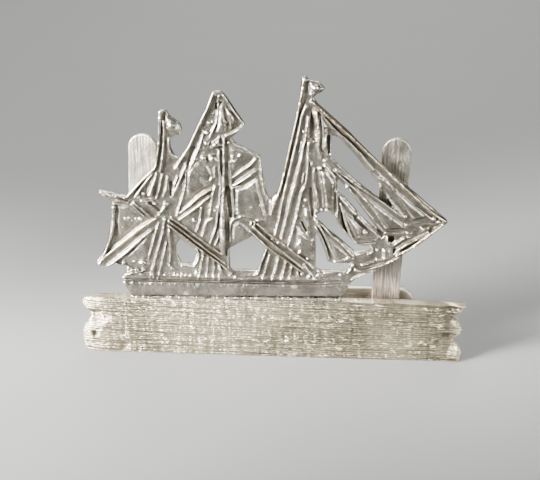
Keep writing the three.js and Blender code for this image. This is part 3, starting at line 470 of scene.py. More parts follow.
# Deadeyes, tops and blobs of metal: (x, z), radius.
LUMPS = [
    ((-14.75, 11.45), 0.38), ((-14.1, 11.4), 0.2), ((-16.4, 10.75), 0.3), ((-16.0, 10.5), 0.32),
    ((-15.5, 10.55), 0.26), ((-14.7, 10.6), 0.24), ((-17.0, 9.6), 0.24), ((-17.0, 11.45), 0.2),
    ((-16.5, 16.8), 0.2), ((-16.1, 16.95), 0.2), ((-15.7, 16.6), 0.16), ((-15.25, 16.8), 0.2),
    ((-14.8, 16.8), 0.24), ((-15.9, 16.2), 0.14), ((-16.5, 19.3), 0.2), ((-14.9, 19.4), 0.24),
    ((-14.3, 19.85), 0.2), ((-13.1, 18.7), 0.2), ((-11.8, 18.65), 0.34), ((-12.0, 16.8), 0.2),
    ((-10.5, 22.9), 0.26), ((-10.85, 27.75), 0.44), ((-12.2, 10.1), 0.15), ((-11.1, 10.1), 0.15),
    ((-10.65, 10.1), 0.15), ((-10.2, 10.15), 0.15), ((-9.75, 10.1), 0.15), ((-9.2, 10.1), 0.15),
    ((-6.35, 24.0), 0.52), ((-5.95, 23.85), 0.36), ((-7.4, 24.1), 0.3), ((-7.2, 23.8), 0.2),
    ((-7.0, 25.8), 0.3), ((-6.75, 28.1), 0.18), ((-6.3, 28.2), 0.16), ((-7.0, 27.0), 0.26),
    ((-5.95, 31.2), 0.2), ((-5.3, 30.6), 0.14), ((-4.85, 28.2), 0.18), ((-5.9, 18.4), 0.2),
    ((-6.25, 18.0), 0.16), ((-8.7, 16.8), 0.14), ((-8.4, 16.7), 0.14), ((-8.5, 10.4), 0.2),
    ((-4.0, 18.1), 0.18), ((-3.7, 18.0), 0.12), ((-3.3, 18.0), 0.12), ((-2.0, 18.45), 0.28),
    ((-2.6, 18.6), 0.16), ((-1.2, 17.2), 0.24), ((-4.6, 10.4), 0.22), ((4.9, 32.1), 0.42),
    ((4.5, 31.5), 0.3), ((3.7, 27.3), 0.18), ((6.0, 24.1), 0.24), ((5.6, 23.2), 0.22),
    ((3.95, 19.5), 0.22), ((3.7, 18.8), 0.14), ((5.2, 18.2), 0.16), ((5.15, 17.6), 0.16),
    ((5.25, 17.2), 0.14), ((5.8, 18.35), 0.15), ((6.35, 18.35), 0.2), ((3.3, 14.2), 0.3),
    ((3.8, 14.0), 0.26), ((3.35, 13.2), 0.22), ((4.3, 12.5), 0.2), ((0.3, 14.8), 0.24),
    ((0.9, 14.3), 0.2), ((3.7, 10.6), 0.24), ((4.5, 10.3), 0.24), ((8.6, 21.15), 0.24),
    ((10.75, 15.8), 0.26), ((13.3, 16.8), 0.2), ((13.65, 19.3), 0.16), ((14.0, 18.7), 0.16),
    ((15.1, 17.8), 0.22), ((17.5, 18.85), 0.18), ((18.3, 17.6), 0.22), ((18.8, 17.25), 0.22),
    ((12.1, 13.75), 0.18), ((14.8, 15.9), 0.16), ((7.0, 10.75), 0.18), ((8.1, 10.6), 0.3),
    ((9.4, 11.7), 0.24), ((8.95, 12.75), 0.22), ((-17.2, 13.75), 0.22),
]


# ------------------------------------------------------------------ the plank's broken ends

# How far the outline draws in from the end, share of the plank's height there.
LEFT_END = [
    (2.5, 1.0), (1.0, 0.985), (0.3, 0.94), (0.1, 0.86), (0.5, 0.75), (1.1, 0.69), (1.15, 0.61),
    (0.8, 0.53), (0.25, 0.44), (0.0, 0.33), (0.0, 0.17), (0.2, 0.0),
]
RIGHT_END = [
    (0.35, 0.0), (0.3, 0.08), (0.2, 0.17), (0.5, 0.25), (1.1, 0.34), (1.15, 0.39), (0.5, 0.47),
    (0.25, 0.56), (0.5, 0.64), (0.8, 0.71), (1.6, 0.75), (1.0, 0.79), (0.5, 0.84), (0.3, 0.91),
    (0.0, 0.955), (3.0, 0.985), (7.0, 1.0),
]

# Hollows pressed into the plank: centre, core and whole radius, and how the metal is moved.
PLANK_HOLLOWS = [
    ((-20.6, -1.6, 4.45), 0.15, 1.1, (0, 0.55, 0)),
    ((-19.4, -1.7, 4.5), 0.1, 0.6, (0, 0.3, 0)),
    ((-20.9, -1.7, 2.25), 0.06, 0.42, (0, 0.6, 0)),
    ((-17.4, -1.7, 0.7), 0.15, 0.6, (0, 0.3, 0)),
    ((20.8, -1.7, 5.7), 0.3, 1.7, (0, 0.75, 0)),
    ((20.6, -1.7, 2.3), 0.3, 1.6, (0, 0.8, 0)),
    ((21.3, -1.7, 4.6), 0.1, 0.8, (0, -0.05, 0)),
]


# ------------------------------------------------------------------ settings

def length(name, description, millimetres):
    return FloatProperty(name=name, description=description, default=millimetres * MM,
                         min=0, unit="LENGTH", precision=5)


def colour(name, description, default):
    return FloatVectorProperty(name=name, description=description, default=default,
                               size=3, min=0, max=1, subtype="COLOR")


class ShipSettings(PropertyGroup):
    ground: length("Ground", "Thickness of the casting's ground", 0.7)
    hull_relief: length("Hull relief", "How far the hull stands forward of the ground", 0.66)
    rail_relief: length("Bulwark relief", "How far the bulwark stands forward of the ground", 0.16)
    rope_height: FloatProperty(name="Rope height", description="Height of a rope to its width",
                               default=1.0, min=0.1, subtype="FACTOR")
    grain: length("Casting grain", "Size of the remesh that melts the relief together", 0.068)
    silver: colour("Silver", "Polished silver on the ridges", (0.285, 0.264, 0.217))
    # The dark silver in the hollows is partly tarnished metal and partly painted shade.
    tarnish_and_shade: colour("Tarnish", "Dark silver in the hollows", (0.06, 0.052, 0.042))


class PlankSettings(PropertyGroup):
    edge: length("Edge", "Worn round edge of the plank", 0.3)
    grain_depth: length("Grain depth", "Depth of the lines cut along the plank", 0.07)
    silver: colour("Silver", "Brushed silver of the plank", (0.32, 0.28, 0.193))
    shade: colour("Shade", "Darker streaks in the plank", (0.10, 0.086, 0.06))


class StripSettings(PropertyGroup):
    edge: length("Edge", "Round edge of the strip", 0.14)
    nickel: colour("Strip", "Nickel silver of the blades and bar", (0.62, 0.565, 0.46))
    blush: colour("Blush", "Pink copper tint where the strip was heated", (0.66, 0.50, 0.42))


class SolderSettings(PropertyGroup):
    bright: colour("Solder", "Bright solder", (0.48, 0.44, 0.37))


class StageSettings(PropertyGroup):
    distance: length("Distance", "Camera to badge", 110.57)
    height: length("Aim height", "Height that the camera aims at", 14.73)
    azimuth: FloatProperty(name="Azimuth", description="Camera turn towards the bow",
                           default=math.radians(4), subtype="ANGLE")
    elevation: FloatProperty(name="Elevation", description="Camera height angle",
                             default=math.radians(20), subtype="ANGLE")
    lens: FloatProperty(name="Lens", description="Focal length on a 36 mm sensor",
                        default=65.33, min=1, subtype="DISTANCE_CAMERA")
    floor: colour("Floor", "Pale floor", (0.17, 0.17, 0.165))


# ------------------------------------------------------------------ modelling helpers

def only(*pieces):
    """Selects these pieces and nothing else, with the first one active."""
    bpy.ops.object.select_all(action="DESELECT")
    for piece in pieces:
        piece.select_set(True)
    bpy.context.view_layer.objects.active = pieces[0]


def edit(piece):
    """Opens a piece in edit mode with all of it selected."""
    only(piece)
    bpy.ops.object.mode_set(mode="EDIT")
    bpy.ops.mesh.select_all(action="SELECT")


def leave_edit():
    bpy.ops.object.mode_set(mode="OBJECT")


def anticlockwise(outline):
    """The same outline, turned round if it runs clockwise."""
    area = sum(a[0] * b[1] - b[0] * a[1] for a, b in zip(outline, outline[1:] + outline[:1]))
    return outline if area > 0 else outline[::-1]


def plate(outline, front, back, crown=()):
    """A closed upright plate; each crown step insets its front face and brings it forward."""
    outline = anticlockwise(list(outline))
    bpy.ops.object.select_all(action="DESELECT")
    bpy.ops.mesh.primitive_circle_add(vertices=len(outline), fill_type="NGON")
    piece = bpy.context.object
    for vertex, (x, z) in zip(piece.data.vertices, outline):
        vertex.co = (x, back, z)
    edit(piece)
    rise = sum(step for _, step in crown)
    bpy.ops.mesh.extrude_region_move(TRANSFORM_OT_translate={"value": (0, front + rise - back, 0)})
    for inset, step in crown:
        bpy.ops.mesh.inset(thickness=inset, depth=step)
    bpy.ops.mesh.select_all(action="SELECT")
    bpy.ops.mesh.normals_make_consistent(inside=False)
    leave_edit()
    return piece


def lump(centre, radius, squash=(1, 1, 1)):
    """A small ball, squashed along the axes."""
    bpy.ops.object.select_all(action="DESELECT")
    bpy.ops.mesh.primitive_ico_sphere_add(subdivisions=2, radius=radius, location=centre,
                                          scale=squash)
    bpy.ops.object.transform_apply(location=True, rotation=True, scale=True)
    return bpy.context.object


def rigging(lines, ground, steepness):
    """Half-round lines of uneven width lying on the ground, as one mesh of closed tubes."""
    data = bpy.data.curves.new("rigging", "CURVE")
    data.dimensions = "3D"
    data.bevel_depth = 1.0
    data.bevel_resolution = 2
    data.use_fill_caps = True
    for lift, route in lines:
        spline = data.splines.new("NURBS")
        spline.points.add(len(route) - 1)
        for point, (x, z, width) in zip(spline.points, route):
            across, up = on_ship((x, z))
            point.co = (across, -(ROPE_SEAT + lift) / (2 * steepness), up, 1)
            point.radius = width * ROPE_RADIUS_SHARE
        spline.order_u = 3
        spline.resolution_u = 4
        spline.use_endpoint_u = True
    tubes = bpy.data.objects.new("rigging", data)
    bpy.context.scene.collection.objects.link(tubes)
    tubes.scale = (1, 2 * steepness, 1)
    tubes.location = (0, ground, 0)
    only(tubes)
    bpy.ops.object.convert(target="MESH")
    bpy.ops.object.transform_apply(location=True, rotation=True, scale=True)
    return bpy.context.object


def joined(pieces):
    """One object from several."""
    only(*pieces)
    bpy.ops.object.join()
    return bpy.context.object


def modify(piece, kind, **settings):
    """Adds a modifier with these settings and applies it."""
    only(piece)
    modifier = piece.modifiers.new(kind.title(), kind)
    for key, value in settings.items():
        setattr(modifier, key, value)
    bpy.ops.object.modifier_apply(modifier=modifier.name)
    return piece


def melted(piece, grain, passes):
    """Grows one skin over overlapping pieces and softens it."""
    modify(piece, "REMESH", mode="VOXEL", voxel_size=grain, adaptivity=0.0)
    modify(piece, "SMOOTH", factor=0.5, iterations=passes)


def displaced(piece, texture, stretch, **settings):
    """Moves the surface by a texture that is stretched along the axes, and uses the texture up."""
    bpy.ops.object.select_all(action="DESELECT")
    bpy.ops.object.empty_add()
    axes = bpy.context.object
    axes.scale = stretch
    bpy.context.view_layer.update()
    modify(piece, "DISPLACE", texture=texture, texture_coords="OBJECT",
           texture_coords_object=axes, **settings)
    bpy.data.objects.remove(axes)
    bpy.data.textures.remove(texture)


def roughen(piece, scale, strength, stretch=(1, 1, 1), middle=0.5, detail=2,
            direction="NORMAL"):
    """Moves the surface by soft noise whose cells are scale millimetres, times stretch."""
    texture = bpy.data.textures.new("unevenness", "CLOUDS")
    texture.noise_scale = scale
    texture.noise_depth = detail
    displaced(piece, texture, stretch, strength=strength, mid_level=middle, direction=direction)


def ruled(piece, pitch, depth, slant):
    """Cuts wavering lines along x, a pitch apart, which slant by one pitch in slant pitches."""
    texture = bpy.data.textures.new("ruled", "WOOD")
    texture.wood_type = "BANDNOISE"
    texture.noise_scale = 0.6
    texture.turbulence = 6
    # A band repeats when x + y + z has grown by a tenth of a full turn in radians, and y is
    # stretched so far that depth has no part in it.
    band = pitch * 10 / (2 * math.pi)
    displaced(piece, texture, (band * slant, 1000, band), strength=-depth, mid_level=1.0,
              direction="Y")


def press(piece, centre, core, radius, move):
    """Moves the vertices within core of a point, and those around them ever less."""
    point = Vector(centre)
    nearest = min((vertex.co - point).length for vertex in piece.data.vertices)
    edit(piece)
    bpy.ops.mesh.select_all(action="DESELECT")
    leave_edit()
    for vertex in piece.data.vertices:
        vertex.select = (vertex.co - point).length <= nearest + core
    bpy.ops.object.mode_set(mode="EDIT")
    bpy.ops.transform.translate(value=move, use_proportional_edit=True,
                                proportional_edit_falloff="SMOOTH", proportional_size=radius)
    leave_edit()


def inset_at(profile, share):
    """How far an end draws in at a share of the plank's height."""
    points = sorted((height, inset) for inset, height in profile)
    share = min(max(share, points[0][0]), points[-1][0])
    for (low, first), (high, second) in zip(points, points[1:]):
        if share <= high:
            return first + (second - first) * (share - low) / (high - low)
    return points[-1][1]


def thinned(piece):
    """Brings a piece under the most triangles that it may have."""
    triangles = sum(len(face.vertices) - 2 for face in piece.data.polygons)
    if triangles > MOST_TRIANGLES:
        modify(piece, "DECIMATE", ratio=MOST_TRIANGLES / triangles)


def fitted(piece, low, high):
    """Stretches a piece to fill the box from low to high exactly."""
    spots = [vertex.co for vertex in piece.data.vertices]
    for axis in range(3):
        first = min(spot[axis] for spot in spots)
        last = max(spot[axis] for spot in spots)
        scale = (high[axis] - low[axis]) / (last - first)
        for spot in spots:
            spot[axis] = low[axis] + (spot[axis] - first) * scale
    piece.data.update()


def nicked(piece, rng, count, low, high):
    """Small knocks in the front face between two corners, each with a raised lip."""
    tree = KDTree(len(piece.data.vertices))
    for i, vertex in enumerate(piece.data.vertices):
        tree.insert(vertex.co, i)
    tree.balance()
    for _ in range(count):
        x = rng.uniform(low[0], high[0])
        z = rng.uniform(low[1], high[1])
        _, index, _ = tree.find((x, PLANK_LOW.y + 0.1, z))
        centre = piece.data.vertices[index].co.copy()
        radius = rng.uniform(*KNOCK_RADIUS)
        depth = rng.uniform(*KNOCK_DEPTH)
        for spot, i, gap in tree.find_range(centre, radius):
            share = gap / radius
            side = 1 if spot.z < centre.z else -LIP_SHARE
            piece.data.vertices[i].co.y += depth * (1 - share * share) * side


def cut_strip(outline, low, high, edge, grain, unevenness):
    """A piece of flat strip, its cut edges rounded and its faces a little uneven."""
    strip = plate(outline, low.y, high.y)
    modify(strip, "BEVEL", width=edge, segments=3, limit_method="ANGLE",
           angle_limit=math.radians(50))
    melted(strip, grain, passes=2)
    roughen(strip, STRIP_WAVE, unevenness, middle=1.0)
    return strip


def half_round(x, z, radius, turn=0.0):
    """Half a circle about a point, which starts after so many half turns from the x axis."""
    angles = [math.pi * (turn + i / ARC_STEPS) for i in range(ARC_STEPS + 1)]
    return [(x + radius * math.cos(angle), z + radius * math.sin(angle)) for angle in angles]


def finished(piece, name, material, replaced, body="badge"):
    """Brings a piece from millimetres to metres and hands it to the frame."""
    only(piece)
    piece.scale = (MM, MM, MM)
    bpy.ops.object.transform_apply(location=True, rotation=True, scale=True)
    bpy.ops.object.shade_smooth()
    piece.name = piece.data.name = name
    piece.data.materials.clear()
    piece.data.materials.append(material)
    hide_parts(*replaced)
    if body:
        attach(piece, body)
    return piece


# ------------------------------------------------------------------ material helpers

def shaded(metal, share, most=1.0):
    """A colour made lighter or darker, with no channel above the most."""
    return tuple(min(part * share, most) for part in metal)


class Finish:
    """A metal finish being built from nodes."""

    def __init__(self, name):
        self.material = bpy.data.materials.new(name)
        self.material.use_nodes = True
        self.tree = self.material.node_tree
        self.shader = self.tree.nodes["Principled BSDF"]
        self.shader.inputs["Metallic"].default_value = 1.0

    def add(self, kind, **inputs):
        """A new node with these values or links on its inputs."""
        made = self.tree.nodes.new("ShaderNode" + kind)
        for key, value in inputs.items():
            self.set(made.inputs[key.replace("_", " ")], value)
        return made

    def set(self, socket, value):
        """Links an output to a socket, or sets the socket to a plain value."""
        if isinstance(value, bpy.types.NodeSocket):
            self.tree.links.new(value, socket)
        else:
            socket.default_value = value

    def noise(self, scale, detail=4, stretch=(1, 1, 1), roughness=0.6):
        """Noise with `scale` cells to the millimetre, stretched along the axes."""
        place = self.add("TexCoord").outputs["Object"]
        shrink = tuple(scale / MM / part for part in stretch)
        mapped = self.add("Mapping", Vector=place, Scale=shrink)
        made = self.add("TexNoise", Vector=mapped.outputs["Vector"], Scale=1.0, Detail=detail,
                        Roughness=roughness)
        return made.outputs["Fac"]

    def between(self, value, low, high, to_low=0.0, to_high=1.0):
        """A value moved from one range to another and held inside it."""
        made = self.add("MapRange", Value=value)
        for key, number in (("From Min", low), ("From Max", high),
                            ("To Min", to_low), ("To Max", to_high)):
            made.inputs[key].default_value = number
        return made.outputs["Result"]

    def mix(self, share, first, second):
        """The first colour where the share is nought, the second where it is one."""
        made = self.add("MixRGB", Fac=share)
        for key, value in (("Color1", first), ("Color2", second)):
            if isinstance(value, bpy.types.NodeSocket):
                self.tree.links.new(value, made.inputs[key])
            else:
                made.inputs[key].default_value = (*value, 1)
        return made.outputs["Color"]

    def maths(self, operation, first, second):
        """One step of arithmetic on two values."""
        made = self.tree.nodes.new("ShaderNodeMath")
        made.operation = operation
        self.set(made.inputs[0], first)
        self.set(made.inputs[1], second)
        return made.outputs["Value"]

    def openness(self, reach):
        """One on open ridges, falling to nought in hollows narrower than reach millimetres."""
        made = self.add("AmbientOcclusion", Distance=reach * MM)
        made.samples = 8
        return made.outputs["AO"]

    def painted(self, layer):
        """A value that was marked on the mesh, point by point."""
        made = self.tree.nodes.new("ShaderNodeAttribute")
        made.attribute_name = layer
        return made.outputs["Fac"]

    def sharpness(self):
        """Above a half on ridges, below a half in folds."""
        return self.tree.nodes.new("ShaderNodeNewGeometry").outputs["Pointiness"]

    def bump(self, height, depth, strength=1.0, normal=None):
        """A fine unevenness of the skin, depth millimetres high, laid over another."""
        made = self.add("Bump", Height=height, Distance=depth * MM, Strength=strength)
        if normal is not None:
            self.tree.links.new(normal, made.inputs["Normal"])
        return made.outputs["Normal"]

    def give(self, **inputs):
        """Sets the shader's inputs and hands over the material."""
        for key, value in inputs.items():
            self.set(self.shader.inputs[key.replace("_", " ")], value)
        return self.material


def polished_silver(silver, tarnish_and_shade):
    """Rubbed bright on the ridges, dull on the flats, tarnished and darkened by painted shade in
    the hollows.
    """
    finish = Finish("polished_silver")
    open_share = finish.openness(0.7)
    patchy = finish.noise(0.9, detail=5)
    shifted = finish.maths("ADD", open_share, finish.between(patchy, 0.3, 0.7, -0.16, 0.16))
    # Hollows take the dark colour through occlusion: partly tarnished metal, partly painted shade.
    clean_and_lit = finish.between(shifted, 0.52, 0.94)
    # Forward ridges are lightened near to white: partly worn metal, partly a painted highlight.
    wear_and_highlight = finish.maths("MULTIPLY", finish.between(finish.sharpness(), 0.53, 0.6),
                          finish.painted("relief"))
    dull = finish.mix(finish.between(finish.noise(0.5), 0.36, 0.64),
                      shaded(silver, 1.4), shaded(silver, 0.72))
    tan = (silver[0] * 1.18, silver[1] * 1.02, silver[2] * 0.82)
    dull = finish.mix(finish.between(finish.painted("warmth"), 0.1, 0.7), dull, tan)
    tone = finish.mix(wear_and_highlight, dull, shaded(silver, 3.5, 0.97))
    skin = finish.bump(finish.noise(6.0, detail=3), 0.04, 0.6)
    skin = finish.bump(finish.noise(1.6, detail=3), 0.15, 0.7, skin)
    return finish.give(
        Base_Color=finish.mix(clean_and_lit, tarnish_and_shade, tone),
        Roughness=finish.between(clean_and_lit, 0, 1, 0.5, 0.27),
        Normal=skin,
    )


def brushed_silver(silver, shade):
    """Drawn lines along the plank, cross chatter in patches, worn ridges lightened by a painted
    highlight, and dark scratches.
    """
    finish = Finish("brushed_silver")
    lines = finish.noise(4.4, detail=4, stretch=(30, 1.0, 1.0), roughness=0.7)
    chatter = finish.noise(3.0, detail=2, stretch=(1, 1, 9))
    patches = finish.noise(0.16, detail=5, stretch=(1, 1, 2))
    streaks = finish.noise(0.55, detail=5, stretch=(5, 1, 1))
    base = finish.mix(finish.between(patches, 0.40, 0.60, 0, 0.8), silver, shade)
    base = finish.mix(finish.between(streaks, 0.45, 0.7, 0, 0.5), base, shade)
    base = finish.mix(finish.between(lines, 0.46, 0.64, 0, 0.55), base, shaded(shade, 0.6))
    crossed = finish.maths("MULTIPLY", finish.between(chatter, 0.5, 0.66),
                           finish.between(patches, 0.5, 0.6, 0.1, 0.6))
    base = finish.mix(crossed, base, shaded(shade, 0.6))
    # Sharp ridges and knocks are lightened near to white: partly worn metal, partly a painted
    # highlight.
    wear_and_highlight = finish.between(finish.sharpness(), 0.505, 0.56)
    base = finish.mix(wear_and_highlight, base, shaded(silver, 2.8, 0.96))
    skin = finish.bump(lines, 0.12, 0.8)
    skin = finish.bump(chatter, 0.08, 0.5, skin)
    skin = finish.bump(finish.noise(5.0, detail=3), 0.04, 0.5, skin)
    return finish.give(
        Base_Color=base,
        Roughness=finish.between(streaks, 0.3, 0.7, 0.3, 0.46),
        Normal=skin,
    )


def brushed_strip(name, nickel, blush, along, blush_height):
    """Flat strip brushed along its length, tinted pink near a height where it was heated."""
    finish = Finish(name)
    lines = finish.noise(5.0, detail=3, stretch=along, roughness=0.7)
    broad = finish.noise(0.4, detail=4)
    separate = finish.tree.nodes.new("ShaderNodeSeparateXYZ")
    finish.tree.links.new(finish.add("TexCoord").outputs["Object"], separate.inputs[0])
    low = finish.between(separate.outputs["Z"], blush_height * MM, (blush_height + 3) * MM, 1, 0)
    tinted = finish.maths("MULTIPLY", low, finish.between(broad, 0.35, 0.6))
    base = finish.mix(tinted, nickel, blush)
    base = finish.mix(finish.between(lines, 0.44, 0.6, 0, 0.9), base, shaded(nickel, 0.55))
    skin = finish.bump(lines, 0.12, 0.8)
    skin = finish.bump(finish.noise(0.9, detail=3), 0.08, 0.5, skin)
    return finish.give(Base_Color=base, Roughness=finish.between(broad, 0.3, 0.7, 0.3, 0.44),
                       Normal=skin)


def bright_solder(bright):
    """Shiny and frosted by turns, with painted shade darkening its folds."""
    finish = Finish("bright_solder")
    open_share = finish.openness(0.5)
    patchy = finish.noise(1.2, detail=4)
    shifted = finish.maths("ADD", open_share, finish.between(patchy, 0.3, 0.7, -0.2, 0.1))
    # The folds take a darkened copy of the solder colour as painted shade.
    base = finish.mix(finish.between(shifted, 0.35, 0.8), shaded(bright, 0.3), bright)
    return finish.give(Base_Color=base, Roughness=finish.between(patchy, 0.3, 0.7, 0.18, 0.42),
                       Normal=finish.bump(finish.noise(4.0, detail=3), 0.05, 0.5))


def plain_floor(tone):
    """Matt and pale, with the faintest mottle."""
    finish = Finish("plain_floor")
    finish.shader.inputs["Metallic"].default_value = 0.0
    mottle = finish.noise(0.02, detail=3)
    return finish.give(Base_Color=finish.mix(mottle, tone, shaded(tone, 0.94)), Roughness=0.85)


# ------------------------------------------------------------------ places on the badge

def on_ship(point):
    """A point of the ship's drawing, in the frame's millimetres."""
    across = (point[0] - DRAWN_LEFT) / (DRAWN_RIGHT - DRAWN_LEFT)
    up = (point[1] - DRAWN_KEEL) / (DRAWN_TOP - DRAWN_KEEL)
    return (SHIP_LOW.x + across * (SHIP_HIGH.x - SHIP_LOW.x),
            SHIP_LOW.z + up * (SHIP_HIGH.z - SHIP_LOW.z))


def placed(points):
    """An outline of the ship's drawing, in the frame's millimetres."""
    return [on_ship(point) for point in points]


def plank_top(x):
    """Height of the plank's top edge, which rises a little towards the right."""
    seat_left = SEAM_LOW.z
    rise = PLANK_HIGH.z - seat_left
    share = (x - SEAM_LOW.x) / (PLANK_HIGH.x - SEAM_LOW.x)
    return seat_left + min(max(share, -0.2), 1) * rise


# ------------------------------------------------------------------ operators

class BADGE_OT_ship(Operator):
    """Model the ship: pierced ground, hull, sails, spars and ropes, melted into one casting"""

    bl_idname = "badge.ship"
    bl_label = "Ship casting"

    def execute(self, context):
        settings = context.scene.badge_ship
        back = SHIP_HIGH.y
        ground = back - settings.ground / MM
        root = ground + ROOT_DEPTH

        sheet = plate(placed(SHIP_EDGE), ground, back, crown=[(0.12, 0.1)])
        near, far = ground - CUTTER_MARGIN, back + CUTTER_MARGIN
        cutters = joined([plate(placed(opening), near, far) for opening in SHIP_OPENINGS]
                         + [plate(placed(pocket), near, ground + POCKET_DEPTH)
                            for pocket in POCKETS])
        modify(sheet, "BOOLEAN", operation="DIFFERENCE", object=cutters, solver="EXACT")
        bpy.data.objects.remove(cutters)

        parts = [sheet]
        hull = ground - settings.hull_relief / MM
        rail = ground - settings.rail_relief / MM
        parts.append(plate(placed(HULL_SIDE), hull, root, crown=[(0.12, 0.1), (0.3, 0.05)]))
        parts.append(plate(placed(BULWARK), rail, root, crown=[(0.1, 0.08)]))
        for belly, sail in SAILS:
            parts.append(plate(placed(sail), ground - belly, root,
                               crown=[(0.12, belly * 0.5), (0.16, belly * 0.3)]))
        parts.append(rigging(LINES, ground, settings.rope_height))
        for centre, radius in LUMPS:
            x, z = on_ship(centre)
            parts.append(lump((x, ground - LUMP_SEAT, z), radius, LUMP_SQUASH))
        ship = joined(parts)

        melted(ship, grain=settings.grain / MM, passes=1)
        roughen(ship, 1.3, 0.10)
        roughen(ship, 0.6, 0.03)
        roughen(ship, 0.28, 0.018)
        thinned(ship)
        fitted(ship, SHIP_LOW, SHIP_HIGH)
        self.mark_metal(ship, ground)
        finished(ship, "ship_relief",
                 polished_silver(tuple(settings.silver), tuple(settings.tarnish_and_shade)),
                 ["ship_casting"])
        return {"FINISHED"}

    def mark_metal(self, ship, ground):
        """Marks the metal that stands forward, and that near the stout spars, which is tan."""
        least, most = TAN_LIFTS
        routes = [route for lift, route in LINES if least <= lift < most]
        spots = []
        for route in routes:
            for (x0, z0, _), (x1, z1, _) in zip(route, route[1:]):
                for i in range(SPOTS_TO_A_STRETCH):
                    share = i / SPOTS_TO_A_STRETCH
                    spots.append(on_ship((x0 + (x1 - x0) * share, z0 + (z1 - z0) * share)))
        tree = KDTree(len(spots))
        for i, (x, z) in enumerate(spots):
            tree.insert((x, 0, z), i)
        tree.balance()
        warmth = ship.data.attributes.new("warmth", "FLOAT", "POINT")
        relief = ship.data.attributes.new("relief", "FLOAT", "POINT")
        for i, vertex in enumerate(ship.data.vertices):
            height = ground - RELIEF_START - vertex.co.y
            forward = min(max(height / RELIEF_RISE, 0.0), 1.0)
            _, _, gap = tree.find((vertex.co.x, 0, vertex.co.z))
            warmth.data[i].value = max(0.0, 1 - gap / TAN_REACH) * forward
            relief.data[i].value = forward


class BADGE_OT_plank(Operator):
    """Model the broken plank with its split ends, worn edges, cut grain and dents"""

    bl_idname = "badge.plank"
    bl_label = "Plank"

    def execute(self, context):
        settings = context.scene.badge_plank
        left, right = PLANK_LOW.x, PLANK_HIGH.x
        front, back = PLANK_LOW.y, PLANK_HIGH.y

        bpy.ops.object.select_all(action="DESELECT")
        bpy.ops.mesh.primitive_grid_add(x_subdivisions=PLANK_COLUMNS, y_subdivisions=PLANK_ROWS,
                                        size=1, rotation=(math.pi / 2, 0, 0))
        plank = bpy.context.object
        bpy.ops.object.transform_apply(location=True, rotation=True, scale=True)
        for vertex in plank.data.vertices:
            share = vertex.co.z + 0.5
            start = left + inset_at(LEFT_END, share)
            end = right - inset_at(RIGHT_END, share)
            x = start + (vertex.co.x + 0.5) * (end - start)
            vertex.co = (x, front, share * plank_top(x))
        edit(plank)
        bpy.ops.mesh.extrude_region_move(TRANSFORM_OT_translate={"value": (0, back - front, 0)})
        bpy.ops.mesh.select_all(action="SELECT")
        bpy.ops.mesh.normals_make_consistent(inside=False)
        leave_edit()
        self.wear_edges(plank, settings.edge / MM)
        for centre, core, radius, move in PLANK_HOLLOWS:
            press(plank, centre, core, radius, move)

        grain = settings.grain_depth / MM
        roughen(plank, 2.4, -0.22, stretch=(2, 1, 1), middle=1.0, direction="Y")
        ruled(plank, RULED_PITCH, grain, RULED_SLANT)
        roughen(plank, 0.5, -grain * 1.6, (12, 1, 1), middle=1.0, direction="Y")
        roughen(plank, 0.5, -grain * 1.4, (1, 1, 7), middle=1.0, detail=1, direction="Y")
        roughen(plank, 0.3, -grain * 1.4, middle=1.0, detail=1, direction="Y")
        nicked(plank, random.Random(5), KNOCKS, (left + KNOCK_MARGIN, KNOCK_BOTTOM),
               (right - KNOCK_MARGIN, KNOCK_TOP))
        thinned(plank)
        fitted(plank, PLANK_LOW, PLANK_HIGH)
        finished(plank, "log_plank_cut",
                 brushed_silver(tuple(settings.silver), tuple(settings.shade)), ["log_plank"])
        return {"FINISHED"}

    def wear_edges(self, plank, radius):
        """Rounds the long edges over, and the broken ends by more."""
        front, back = PLANK_LOW.y, PLANK_HIGH.y
        for vertex in plank.data.vertices:
            x, y, z = vertex.co
            top = plank_top(x)
            share = min(max(z / top, 0), 1)
            edges = ((x - PLANK_LOW.x - inset_at(LEFT_END, share), LEFT_WEAR),
                     (PLANK_HIGH.x - inset_at(RIGHT_END, share) - x, RIGHT_WEAR),
                     (top - z, radius), (z, radius))
            fall = 0
            for gap, reach in edges:
                if gap < reach:
                    drop = 1 - math.sqrt(max(1 - (1 - gap / reach) ** 2, 0))
                    fall += min(reach, DEEPEST_WEAR) * drop
            fall = min(fall, DEEPEST_WEAR)
            vertex.co.y = y + fall if y < (front + back) / 2 else y - fall * BACK_WEAR_SHARE


class BADGE_OT_keel_solder(Operator):
    """Model the lumpy solder bead between the keel and the plank"""

    bl_idname = "badge.keel_solder"
    bl_label = "Keel solder"

    def execute(self, context):
        settings = context.scene.badge_solder
        rng = random.Random(3)
        low, high = SEAM_LOW, SEAM_HIGH
        front = low.y + BEAD_FRONT
        core = [(low.x, low.z), (high.x, plank_top(high.x)), (high.x, high.z),
                (low.x, low.z + BEAD_CORE_STERN)]
        parts = [plate(core, front + BEAD_CORE, high.y)]
        x = low.x + 0.2
        while x < high.x - 0.1:
            share = (x - low.x) / (high.x - low.x)
            bottom = plank_top(x) + 0.02
            top = low.z + BEAD_STERN + share * (high.z - low.z - BEAD_STERN)
            size = (top - bottom) * rng.uniform(*BEAD_LUMP_RADIUS)
            z = (bottom + top) / 2 + rng.uniform(-BEAD_LUMP_WANDER, BEAD_LUMP_WANDER)
            squash = (rng.uniform(*BEAD_LUMP_STRETCH), 0.6, 1)
            parts.append(lump((x, front + BEAD_LUMP_SEAT, z), size, squash))
            x += size * rng.uniform(*BEAD_LUMP_STEP)
        bead = joined(parts)
        melted(bead, grain=0.055, passes=2)
        roughen(bead, 0.4, 0.05)
        finished(bead, "keel_solder_bead", bright_solder(tuple(settings.bright)),
                 ["keel_solder"])
        return {"FINISHED"}


